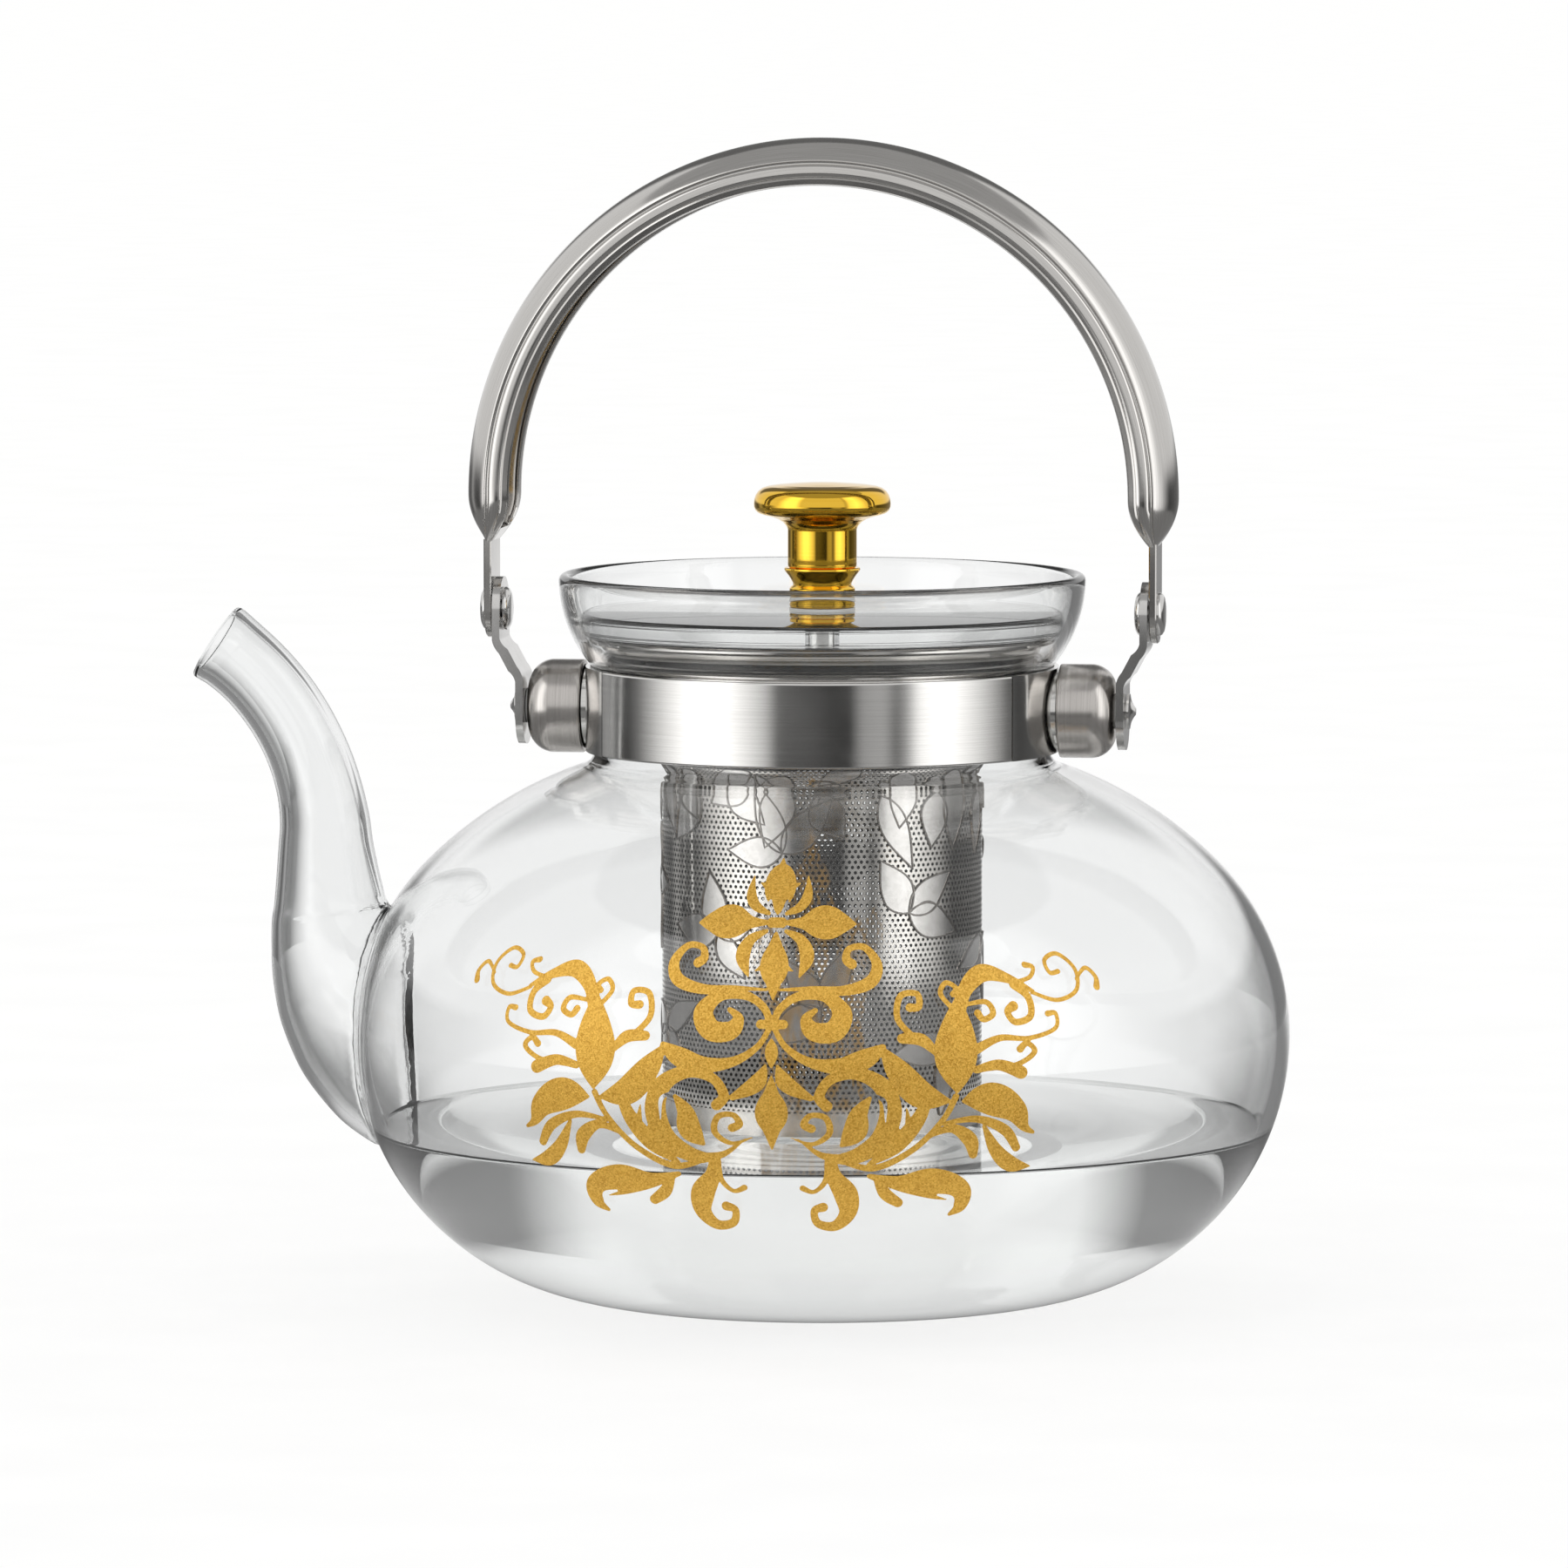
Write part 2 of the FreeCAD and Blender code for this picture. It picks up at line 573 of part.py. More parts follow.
turned(infuser_tube, [("basket_radius - basket_sheet", "basket_low"), ("basket_radius", "basket_low"),
                      ("basket_radius", "basket_high"), ("basket_radius - basket_sheet", "basket_high")])
infuser_base = new_body("infuser_base")
CUP_LOW = "basket_low + cup_set_in"
CUP_HIGH = f"{CUP_LOW} + cup_depth"
CUP_FLOOR = f"{CUP_LOW} + basket_sheet"
turned(infuser_base, [("0", CUP_LOW), ("basket_radius - basket_sheet", CUP_LOW),
                      ("basket_radius - basket_sheet", CUP_HIGH), ("basket_radius - 2 * basket_sheet", CUP_HIGH),
                      ("basket_radius - 2 * basket_sheet", CUP_FLOOR), ("0", CUP_FLOOR)])


# ---------------------------------------------------------------- lid
LID_TOP = "lid_low + lid_thick"
SCREW_BORE = "2"
lid_glass = new_body("lid_glass")
turned(lid_glass, [(SCREW_BORE, "lid_low"), ("lid_radius - 1.2", "lid_low"), ("lid_radius", "lid_low + 1.6"),
                   ("lid_radius", f"{LID_TOP} - 0.8"), ("lid_radius - 0.8", LID_TOP, "0.8", 1),
                   (SCREW_BORE, LID_TOP)])


def washer(label, low, high):
    body = new_body(label)
    turned(body, [(SCREW_BORE, low), ("knob_foot", low), ("knob_foot", high), (SCREW_BORE, high)])
    return body


washer("lid_washer_lower", "lid_low - seal", "lid_low")
washer("lid_washer_upper", LID_TOP, f"{LID_TOP} + seal")

FOOT_LOW = f"{LID_TOP} + seal"
knob_foot = new_body("knob_foot")
turned(knob_foot, [(SCREW_BORE, FOOT_LOW), ("knob_foot", FOOT_LOW), ("knob_foot", f"{FOOT_LOW} + 3.4"),
                   ("knob_foot - 0.6", f"{FOOT_LOW} + 3.7"), ("knob_foot + 0.9", f"{FOOT_LOW} + 6.2"),
                   ("knob_foot + 0.9", f"{FOOT_LOW} + ferrule"), (SCREW_BORE, f"{FOOT_LOW} + ferrule")])
STEM_LOW = f"{FOOT_LOW} + ferrule"
knob = new_body("knob")
turned(knob, [("0", f"{STEM_LOW} + knob_bore"), (SCREW_BORE, f"{STEM_LOW} + knob_bore"), (SCREW_BORE, STEM_LOW),
              ("knob_foot + 0.3", STEM_LOW), ("knob_foot + 0.3", "knob_height - 8"),
              ("knob_top - 1", "knob_height - 5.3", "5", -1), ("knob_top", "knob_height - 4"),
              ("knob_top - 0.5", "knob_height - 1.9"), ("knob_top - 2.4", "knob_height - 0.7", "2.4", 1),
              ("1", "knob_height", "60", 1), ("0", "knob_height")])
knob_screw = new_body("knob_screw")
SCREW_TOP = f"{STEM_LOW} + knob_bore - 1"
turned(knob_screw, [("0", "lid_low - seal - button_thick"),
                    ("screw_button - 0.6", "lid_low - seal - button_thick"),
                    ("screw_button", "lid_low - seal - button_thick + 0.6"), ("screw_button", "lid_low - seal"),
                    (SCREW_BORE, "lid_low - seal"), (SCREW_BORE, SCREW_TOP), ("0", SCREW_TOP)])


# ---------------------------------------------------------------- checks and export
doc.recompute()
for item in doc.Objects:
    if "Invalid" in item.State or "Error" in item.State:
        raise RuntimeError(f"{item.Label} failed: {item.State}")
HELPERS = (pot_blank, pot_filled, spout_tube)
pieces = [item for item in doc.Objects if item.isDerivedFrom("PartDesign::Body") and item not in HELPERS]
pieces += [glass_bowl, spout]
os.makedirs("parts", exist_ok=True)
for piece in pieces:
    shape = piece.Shape
    if shape.isNull() or not shape.isValid():
        raise RuntimeError(f"{piece.Label}: no valid shape")
    if len(shape.Solids) != 1:
        raise RuntimeError(f"{piece.Label}: {len(shape.Solids)} solids")
for piece in pieces:
    piece.Shape.exportStep(f"parts/{piece.Label}.step")
    box = piece.Shape.BoundBox
    print(f"{piece.Label:20s} {piece.Shape.Volume:10.1f} mm3  x {box.XMin:7.2f} {box.XMax:7.2f}"
          f"  y {box.YMin:7.2f} {box.YMax:7.2f}  z {box.ZMin:7.2f} {box.ZMax:7.2f}")
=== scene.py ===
import bmesh
import bpy
import math
import numpy as np
import random
from mathutils import Matrix, Vector
from mathutils.kdtree import KDTree


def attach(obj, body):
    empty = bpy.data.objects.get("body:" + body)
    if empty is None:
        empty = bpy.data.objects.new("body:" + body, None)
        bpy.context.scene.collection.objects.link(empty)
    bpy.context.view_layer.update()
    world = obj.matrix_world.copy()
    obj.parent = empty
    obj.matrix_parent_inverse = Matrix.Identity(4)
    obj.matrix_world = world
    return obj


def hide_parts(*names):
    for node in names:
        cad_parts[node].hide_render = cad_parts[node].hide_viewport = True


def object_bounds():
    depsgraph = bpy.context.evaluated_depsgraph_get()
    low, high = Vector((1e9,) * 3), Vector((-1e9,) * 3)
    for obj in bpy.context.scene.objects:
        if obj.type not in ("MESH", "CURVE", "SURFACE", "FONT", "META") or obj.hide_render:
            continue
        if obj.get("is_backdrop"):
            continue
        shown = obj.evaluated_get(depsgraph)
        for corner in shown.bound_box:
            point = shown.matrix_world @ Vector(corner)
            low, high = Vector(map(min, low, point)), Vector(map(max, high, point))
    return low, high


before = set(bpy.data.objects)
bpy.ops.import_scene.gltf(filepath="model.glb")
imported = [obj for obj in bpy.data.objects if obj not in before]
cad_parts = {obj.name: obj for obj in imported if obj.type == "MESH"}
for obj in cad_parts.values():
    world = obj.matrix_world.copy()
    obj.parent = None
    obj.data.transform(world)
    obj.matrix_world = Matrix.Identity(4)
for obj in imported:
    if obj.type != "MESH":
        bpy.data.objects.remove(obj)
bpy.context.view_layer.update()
scene = bpy.context.scene
MM = 0.001


# ---------------------------------------------------------------- studio: floor, light and camera
# A wide table top that gives off some light of its own, and a round tent of toned light that only
# mirrors and clear glass see. Its tones are set for the front view, so this isn't plain studio
# light: from the sides and behind they break upright across the steel and grey the glass.
def nodes_of(tree):
    """Functions that add a node with its settings and inputs, and that join two sockets."""
    def add(kind, inputs=None, **settings):
        node = tree.nodes.new(kind)
        for name, value in settings.items():
            setattr(node, name, value)
        for name, value in (inputs or {}).items():
            socket = node.inputs[name]
            if isinstance(value, bpy.types.NodeSocket):
                tree.links.new(value, socket)
            else:
                socket.default_value = value
        return node
    return add


def ramp(node, stops):
    """Set a Color Ramp's stops, given as (place, grey or colour)."""
    elements = node.color_ramp.elements
    while len(elements) > 1:
        elements.remove(elements[-1])
    for index, (place, tone) in enumerate(stops):
        element = elements[0] if index == 0 else elements.new(place)
        element.position = place
        colour = (tone, tone, tone) if isinstance(tone, (int, float)) else tone
        element.color = (*colour, 1)


def new_material(name):
    """Empty node material and its Principled shader."""
    material = bpy.data.materials.new(name)
    material.use_nodes = True
    tree = material.node_tree
    return material, nodes_of(tree), tree.nodes["Principled BSDF"], tree


def object_place(add, scale=(1, 1, 1), turn=(0, 0, 0), shift=(0, 0, 0)):
    """Place on the piece in its own axes, through a Mapping node."""
    place = add("ShaderNodeTexCoord")
    mapping = add("ShaderNodeMapping", {"Vector": place.outputs["Object"]})
    mapping.inputs["Scale"].default_value = scale
    mapping.inputs["Rotation"].default_value = turn
    mapping.inputs["Location"].default_value = shift
    return mapping.outputs["Vector"]


VIEW_AZIMUTH = 7.5
HORIZON_LIGHT, ZENITH_LIGHT = 0.92, 1.22
PAPER_WHITE = (0.99, 0.99, 0.988, 1)

world = bpy.data.worlds.new("studio")
scene.world = world
world.use_nodes = True
world.node_tree.nodes.clear()
add = nodes_of(world.node_tree)
direction = add("ShaderNodeTexCoord")
axes = add("ShaderNodeSeparateXYZ", {"Vector": direction.outputs["Generated"]})
height_light = add("ShaderNodeMapRange", {"Value": axes.outputs["Z"], "From Min": 0.0, "From Max": 0.9,
                                          "To Min": HORIZON_LIGHT, "To Max": ZENITH_LIGHT})
soft_light = add("ShaderNodeBackground",
                 {"Color": (1, 0.998, 0.99, 1), "Strength": height_light.outputs["Result"]})
seen = add("ShaderNodeBackground", {"Color": PAPER_WHITE, "Strength": 1.0})
path = add("ShaderNodeLightPath")
choice = add("ShaderNodeMixShader", {"Fac": path.outputs["Is Camera Ray"], 1: soft_light.outputs[0],
                                     2: seen.outputs[0]})
add("ShaderNodeOutputWorld", {"Surface": choice.outputs[0]})

# The tent stands round the pot and only mirrors and clear glass see it: bearing from the camera's
# side in degrees, brightness. White paper is behind the pot, dark cards are beside and in front, and
# a glowing mat lies round the pot, grey at the sides and darkest at the foot as a painted shadow.
TENT = [(-180, .96), (-166, .96), (-159, .24), (-138, .08), (-126, .42), (-118, .12), (-106, .06), (-98, .20),
        (-90, .55), (-78, 1.2), (-62, 2.0), (-48, 1.9), (-36, 1.25), (-27, .75), (-21, .12), (-8, .10),
        (4, .05),
        (13, .03), (19, .42), (29, .50), (35, .15), (40, .42), (47, 1.5), (60, 1.9), (76, 1.2), (90, .55),
        (98, .20), (106, .06), (128, .12), (161, .24), (168, .96), (180, .96)]
# Over these: side in degrees from nothing to full, height in metres from nothing to full, brightness.
# Pale cards are high in front and beside, grey cloth is high behind, and the ceiling is grey.
TENT_UPPER = [(44, 36, 0.095, 0.125, 0.85), (72, 84, 0.13, 0.17, 0.90), (146, 154, 0.27, 0.34, 0.16),
              (-2, -1, 0.90, 0.94, 0.42)]
TENT_RADIUS, TENT_HEIGHT = 0.62, 0.95
TENT_BRIGHTEST = 2.5
TENT_LIFT = 0.0005
MAT_RADIUS = 0.036
# Distance from the axis as a share of the tent's radius, and brightness of the mat there: the dark
# stops next to the foot are a painted shadow under the pot.
MAT_PAINTED_SHADOW = [(0.058, 0.10), (0.085, 0.30), (0.125, 0.74), (0.19, 0.95)]
MAT_SIDE = 0.24
tent_mesh = bpy.data.meshes.new("light_tent")
work = bmesh.new()
for base_radius, top_radius, base, depth in ((TENT_RADIUS, TENT_RADIUS, TENT_LIFT, TENT_HEIGHT),
                                             (MAT_RADIUS, TENT_RADIUS, TENT_LIFT, 0.0)):
    bmesh.ops.create_cone(work, cap_ends=False, segments=180, radius1=base_radius, radius2=top_radius,
                          depth=depth, matrix=Matrix.Translation((0, 0, base + depth / 2)))
bmesh.ops.create_circle(work, cap_ends=True, segments=180, radius=TENT_RADIUS,
                        matrix=Matrix.Translation((0, 0, TENT_LIFT + TENT_HEIGHT)))
work.to_mesh(tent_mesh)
work.free()
light_tent = bpy.data.objects.new("light_tent", tent_mesh)
scene.collection.objects.link(light_tent)
light_tent.visible_camera = False
light_tent.visible_diffuse = False
light_tent.visible_shadow = False
tent_light = bpy.data.materials.new("tent_light")
tent_light.use_nodes = True
tent_light.node_tree.nodes.clear()
add = nodes_of(tent_light.node_tree)
axes = add("ShaderNodeSeparateXYZ", {"Vector": object_place(add, turn=(0, 0, -math.radians(VIEW_AZIMUTH)))})
behind = add("ShaderNodeMath", {0: axes.outputs["Y"], 1: -1.0}, operation="MULTIPLY")
bearing = add("ShaderNodeMath", {0: axes.outputs["X"], 1: behind.outputs[0]}, operation="ARCTAN2")
share = add("ShaderNodeMapRange", {"Value": bearing.outputs[0], "From Min": -math.pi, "From Max": math.pi})
ring = add("ShaderNodeValToRGB", {"Fac": share.outputs["Result"]})
ramp(ring, [((angle + 180) / 360, light / TENT_BRIGHTEST) for angle, light in TENT])
turned_away = add("ShaderNodeMath", {0: bearing.outputs[0]}, operation="ABSOLUTE")
last = ring.outputs["Color"]
for low_side, high_side, low_height, high_height, light in TENT_UPPER:
    sideways = add("ShaderNodeMapRange", {"Value": turned_away.outputs[0], "From Min": math.radians(low_side),
                                          "From Max": math.radians(high_side)})
    upwards = add("ShaderNodeMapRange", {"Value": axes.outputs["Z"], "From Min": low_height,
                                         "From Max": high_height})
    share = add("ShaderNodeMath", {0: sideways.outputs["Result"], 1: upwards.outputs["Result"]},
                operation="MULTIPLY")
    tone = light / TENT_BRIGHTEST
    last = add("ShaderNodeMix", {0: share.outputs[0], 6: last, 7: (tone, tone, tone, 1)},
               data_type="RGBA").outputs[2]
from_axis = add("ShaderNodeVectorMath", {0: object_place(add, (1 / TENT_RADIUS, 1 / TENT_RADIUS, 0))},
                operation="LENGTH")
# Painted shadow: the mat darkens towards the pot's foot, for the shadow under the pot seen in the glass.
mat_painted_shadow = add("ShaderNodeValToRGB", {"Fac": from_axis.outputs["Value"]})
ramp(mat_painted_shadow, [(place, light / TENT_BRIGHTEST) for place, light in MAT_PAINTED_SHADOW])
beside = add("ShaderNodeMapRange", {"Value": turned_away.outputs[0], "From Min": math.radians(167),
                                    "From Max": math.radians(150)}, interpolation_type="SMOOTHSTEP")
far = add("ShaderNodeMapRange", {"Value": from_axis.outputs["Value"], "From Min": 0.12, "From Max": 0.26},
          interpolation_type="SMOOTHSTEP")
both = add("ShaderNodeMath", {0: beside.outputs["Result"], 1: far.outputs["Result"]}, operation="MULTIPLY")
tone = MAT_SIDE / TENT_BRIGHTEST
mat_colour = add("ShaderNodeMix", {0: both.outputs[0], 6: mat_painted_shadow.outputs["Color"], 7: (tone, tone, tone, 1)},
                 data_type="RGBA")
on_mat = add("ShaderNodeMath", {0: axes.outputs["Z"], 1: 2 * TENT_LIFT}, operation="LESS_THAN")
last = add("ShaderNodeMix", {0: on_mat.outputs[0], 6: last, 7: mat_colour.outputs[2]},
           data_type="RGBA").outputs[2]
glow = add("ShaderNodeEmission", {"Color": last, "Strength": TENT_BRIGHTEST})
add("ShaderNodeOutputMaterial", {"Surface": glow.outputs[0]})
tent_mesh.materials.append(tent_light)
light_tent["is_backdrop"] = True

FLOOR_RADIUS, FLOOR_GLOW = 40.0, 3.4
floor_mesh = bpy.data.meshes.new("table_top")
grid = bmesh.new()
bmesh.ops.create_circle(grid, cap_ends=True, segments=96, radius=FLOOR_RADIUS)
grid.to_mesh(floor_mesh)
grid.free()
table_top = bpy.data.objects.new("table_top", floor_mesh)
scene.collection.objects.link(table_top)
paper, add, shader, tree = new_material("pale_paper")
mottle = add("ShaderNodeTexNoise", {"Vector": object_place(add), "Scale": 30.0, "Detail": 3.0})
tones = add("ShaderNodeValToRGB", {"Fac": mottle.outputs["Fac"]})
ramp(tones, [(0.3, (0.218, 0.218, 0.2175)), (0.7, (0.222, 0.222, 0.2215))])
tree.links.new(tones.outputs["Color"], shader.inputs["Base Color"])
tree.links.new(tones.outputs["Color"], shader.inputs["Emission Color"])
shader.inputs["Emission Strength"].default_value = FLOOR_GLOW
shader.inputs["Roughness"].default_value = 0.95
shader.inputs["Specular IOR Level"].default_value = 0.0
floor_mesh.materials.append(paper)
table_top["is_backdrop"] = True

CAMERA_DISTANCE = 1.87
CAMERA_HEIGHT = 0.249
CAMERA_PAN = 0.2
CAMERA_TILT = -4.93
LENS = 252.3
azimuth = math.radians(VIEW_AZIMUTH)
heading = math.radians(VIEW_AZIMUTH + CAMERA_PAN)
tilt = math.radians(CAMERA_TILT)
camera = bpy.data.objects.new("camera", bpy.data.cameras.new("camera"))
scene.collection.objects.link(camera)
camera.location = (CAMERA_DISTANCE * math.sin(azimuth), -CAMERA_DISTANCE * math.cos(azimuth), CAMERA_HEIGHT)
camera.rotation_euler = (math.pi / 2 + tilt, 0, heading)
camera.data.lens = LENS
camera.data.sensor_width = 36.0
camera.data.clip_end = 100.0
scene.camera = camera
scene.view_settings.view_transform = "Standard"


# ---------------------------------------------------------------- glass pot
# The pot is blown borosilicate: a low round belly, a drawn-in neck and a flared, fire-polished mouth.
# The spout is a bent tube fused on the side, open into the belly, with a thick melted joint.
def arc(across, up, radius, start, stop, steps):
    """Points of an arc, in degrees, as (radius from the axis, height)."""
    angles = [math.radians(start + (stop - start) * i / steps) for i in range(steps + 1)]
    return [(across + radius * math.cos(a), up + radius * math.sin(a)) for a in angles]


def bulge(start, stop, radius, steps):
    """Points of an arc from start to stop that bellies away from the axis."""
    (r0, z0), (r1, z1) = start, stop
    chord = math.hypot(r1 - r0, z1 - z0)
    reach = math.sqrt(radius ** 2 - chord ** 2 / 4)
    across = (r0 + r1) / 2 - reach * (z1 - z0) / chord
    up = (z0 + z1) / 2 + reach * (r1 - r0) / chord
    first = math.degrees(math.atan2(z0 - up, r0 - across))
    last = math.degrees(math.atan2(z1 - up, r1 - across))
    return arc(across, up, radius, first, last, steps)


def new_piece(name, mesh, material=None):
    piece = bpy.data.objects.new(name, mesh)
    scene.collection.objects.link(piece)
    if material:
        mesh.materials.append(material)
    return piece


def smooth(mesh, sharp=35.0):
    """Smooth shading that stays sharp at edges steeper than an angle."""
    mesh.shade_smooth()
    mesh.set_sharp_from_angle(angle=math.radians(sharp))


def mesh_from(name, points, faces):
    """Mesh in metres from points in millimetres, doubles merged and faces outwards."""
    mesh = bpy.data.meshes.new(name)
    mesh.from_pydata([[value * MM for value in point] for point in points], [], faces)
    work = bmesh.new()
    work.from_mesh(mesh)
    bmesh.ops.remove_doubles(work, verts=work.verts, dist=1e-7)
    bmesh.ops.dissolve_degenerate(work, edges=work.edges, dist=1e-7)
    bmesh.ops.recalc_face_normals(work, faces=work.faces)
    work.to_mesh(mesh)
    work.free()
    return mesh


def lathe(name, profile, material=None, segments=192, sharp=35.0, side=0, height=0):
    """Closed profile of (radius, along) turned round Z, or with side +1 or -1 round X at a
    height, where "along" runs outwards on that side."""
    points, faces = [], []
    count = len(profile)
    for step in range(segments):
        angle = 2 * math.pi * step / segments
        for radius, along in profile:
            a, b = radius * math.cos(angle), radius * math.sin(angle)
            points.append((side * along, a, height + b) if side else (a, b, along))
    for step in range(segments):
        here, there = step * count, (step + 1) % segments * count
        for i in range(count):
            j = (i + 1) % count
            if profile[i][0] < 1e-6 and profile[j][0] < 1e-6:
                continue
            faces.append((here + i, there + i, there + j, here + j))
    mesh = mesh_from(name, points, faces)
    smooth(mesh, sharp)
    return new_piece(name, mesh, material)


def supported(profile):
    """Closed profile with a point just inside each end of its long straights, so that smooth
    shading turns only at the corners."""
    held = []
    for here, there in zip(profile, profile[1:] + profile[:1]):
        held.append(here)
        long = math.dist(here, there)
        if long > 1.0 and max(here[0], there[0]) > 1e-6:
            held += [tuple(a + (b - a) * part for a, b in zip(here, there)) for part in (0.12 / long,
                                                                                         1 - 0.12 / long)]
    return held


FOOT_RADIUS = 35.0
BELLY_HEIGHT, BELLY_CURVE = 45.0, 45.0
SIDE_ACROSS, SIDE_CURVE = 38.5, 41.5
SHOULDER_ACROSS, SHOULDER_UP, SHOULDER_CURVE = 18.35, 24.85, 70.0
GLASS_SKIN = 0.05
GLASS_WALL = 2.2
NECK_INNER, NECK_OUTER = 37.1, 38.95
RIM_OUTER, RIM_INNER, RIM_HEIGHT = 44.95, 42.8, 122.7


def belly_curve(depth, last=70.85):
    """Side of the pot from the foot up to the shoulder, a depth inside its outer surface."""
    return (arc(FOOT_RADIUS, BELLY_HEIGHT, BELLY_CURVE - depth, -90, 0, 40)
            + arc(SIDE_ACROSS, BELLY_HEIGHT, SIDE_CURVE - depth, 0, 45, 18)[1:]
            + arc(SHOULDER_ACROSS, SHOULDER_UP, SHOULDER_CURVE - depth, 45, last, 12)[1:])


outer_wall = (belly_curve(GLASS_SKIN) + [(40.25, 91.35), (39.55, 91.95), (39.1, 92.7), (NECK_OUTER, 93.6),
                                         (NECK_OUTER, 100.0)]
              + bulge((NECK_OUTER, 107.6), (RIM_OUTER, RIM_HEIGHT), 22.8, 14))
lip = arc((RIM_OUTER + RIM_INNER) / 2, RIM_HEIGHT, (RIM_OUTER - RIM_INNER) / 2, 0, 180, 12)[1:-1]
inner_wall = (bulge((NECK_INNER, 108.5), (RIM_INNER, RIM_HEIGHT), 20.6, 14)[::-1]
              + [(NECK_INNER, 100), (NECK_INNER, 92.2), (37.35, 91.0), (37.95, 90.05)]
              + belly_curve(GLASS_WALL, 71.4)[::-1]
              + [(28, 2.3), (20, 2.6), (12, 3.1), (5, 3.5), (0, 3.6)])
PUNT_RADIUS, PUNT_RISE, PUNT_WAVE, PUNT_WAVE_LONG = 33.0, 0.55, 0.13, 6.2
FOOT_STEPS = 44
foot = []
for step in range(FOOT_STEPS):
    r = PUNT_RADIUS * step / FOOT_STEPS
    hollow = 1 - (r / PUNT_RADIUS) ** 2
    foot.append((r,
                 PUNT_RISE * hollow
                 + PUNT_WAVE * hollow ** 0.5 * (1 + math.cos(2 * math.pi * r / PUNT_WAVE_LONG))))
foot.append((PUNT_RADIUS, 0))
glass_pot = lathe("glass_pot", foot + outer_wall + lip + inner_wall, segments=256)

# Spout: degrees round the lower bend back from the straight rise, how much further out than the
# bend's radius, outside radius; then degrees round the upper bend, outside radius.
LOWER_BEND = [(75, 2.0, 21.5), (67, 1.42, 20.5), (60, 0.9, 19.3), (52, 0.52, 17.85), (45, 0.2, 16.4),
              (37, -0.12, 14.9), (30, -0.4, 13.6), (22, -0.64, 12.3), (15, -0.8, 11.3), (7, -0.8, 10.4),
              (0, -0.7, 9.6)]
UPPER_BEND = [(0, 8.2), (6, 7.75), (12, 7.4), (18, 7.17), (24, 7.0), (30, 6.9), (36, 6.85), (42, 6.8),
              (47, 6.8), (52, 6.88), (54.5, 7.05), (56, 7.12), (56.6, 7.05), (57, 6.8)]
LOWER_ACROSS, LOWER_UP, LOWER_CURVE = -66.0, 66.8, 20.0
UPPER_ACROSS, UPPER_UP, UPPER_CURVE = -86.0, 76.0, 42.0
SPOUT_WALL = 1.6
SPOUT_SIDES = 96
SPOUT_ROWS = 5


def spout_line():
    """Middle line from root to tip: (across, up, heading in degrees, outside radius)."""
    line = []
    for degrees, extra, radius in LOWER_BEND:
        angle = math.radians(degrees)
        line.append((LOWER_ACROSS - (LOWER_CURVE + extra) * math.cos(angle),
                     LOWER_UP - (LOWER_CURVE + extra) * math.sin(angle), 90 + degrees, radius))
    for degrees, radius in UPPER_BEND:
        angle = math.radians(degrees)
        line.append((UPPER_ACROSS - UPPER_CURVE * (1 - math.cos(angle)),
                     UPPER_UP + UPPER_CURVE * math.sin(angle), 90 + degrees, radius))
    fine = []
    for i in range(len(line) - 1):
        around = line[max(i - 1, 0)], line[i], line[i + 1], line[min(i + 2, len(line) - 1)]
        for t in (step / SPOUT_ROWS for step in range(SPOUT_ROWS)):
            fine.append([0.5 * (2 * b + (c - a) * t + (2 * a - 5 * b + 4 * c - d) * t * t
                                + (3 * b - a - 3 * c + d) * t ** 3) for a, b, c, d in zip(*around)])
    return fine + [list(line[-1])]


def spout_solid(name, wall, root_more, tip_more):
    """Closed solid along the spout, a wall inside its outer surface, made longer at both ends."""
    line = spout_line()
    for end, more in ((line[0], -root_more), (line[-1], tip_more)):
        lean = math.radians(end[2])
        longer = [end[0] + more * math.cos(lean), end[1] + more * math.sin(lean), end[2], end[3]]
        if more:
            line.insert(0 if more < 0 else len(line), longer)
    points, faces = [], []
    for across, up, heading, radius in line:
        lean = math.radians(heading)
        for k in range(SPOUT_SIDES):
            a = 2 * math.pi * k / SPOUT_SIDES
            out = (radius - wall) * math.cos(a)
            points.append((across + out * math.sin(lean), (radius - wall) * math.sin(a),
                           up - out * math.cos(lean)))
    for row in range(len(line) - 1):
        for k in range(SPOUT_SIDES):
            a, b = row * SPOUT_SIDES + k, row * SPOUT_SIDES + (k + 1) % SPOUT_SIDES
            faces.append((a, b, b + SPOUT_SIDES, a + SPOUT_SIDES))
    faces.append(tuple(range(SPOUT_SIDES)))
    faces.append(tuple(range(len(points) - SPOUT_SIDES, len(points))))
    return new_piece(name, mesh_from(name, points, faces))


def combine(base, tool, operation):
    """Exact Boolean of two closed pieces, as a new mesh on the first; the tool is removed."""
    modifier = base.modifiers.new("combine", "BOOLEAN")
    modifier.object = tool
    modifier.operation = operation
    modifier.solver = "EXACT"
    made = bpy.data.meshes.new_from_object(base.evaluated_get(bpy.context.evaluated_depsgraph_get()))
    base.modifiers.clear()
    old = base.data
    base.data = made
    bpy.data.meshes.remove(old)
    bpy.data.objects.remove(tool)


JOINT_ANGLE = math.radians(25)
JOINT_FAR, JOINT_NEAR = -0.095, -0.045
MELT, MELT_FADE, MELT_TURNS = 2.4 * MM, 20, 14
WELD, EDGE_LONGEST, SPLIT_TURNS = 0.5 * MM, 1.1 * MM, 3


def at_joint(vertex):
    """Whether a vertex is in the slice of the pot that holds the spout's joint."""
    return JOINT_FAR < vertex.co.x < JOINT_NEAR


def sharp_rim():
    """Vertices on the joint's sharp edges."""
    return {vertex for edge in work.edges if edge.is_manifold and edge.calc_face_angle() > JOINT_ANGLE
            for vertex in edge.verts if at_joint(vertex)}


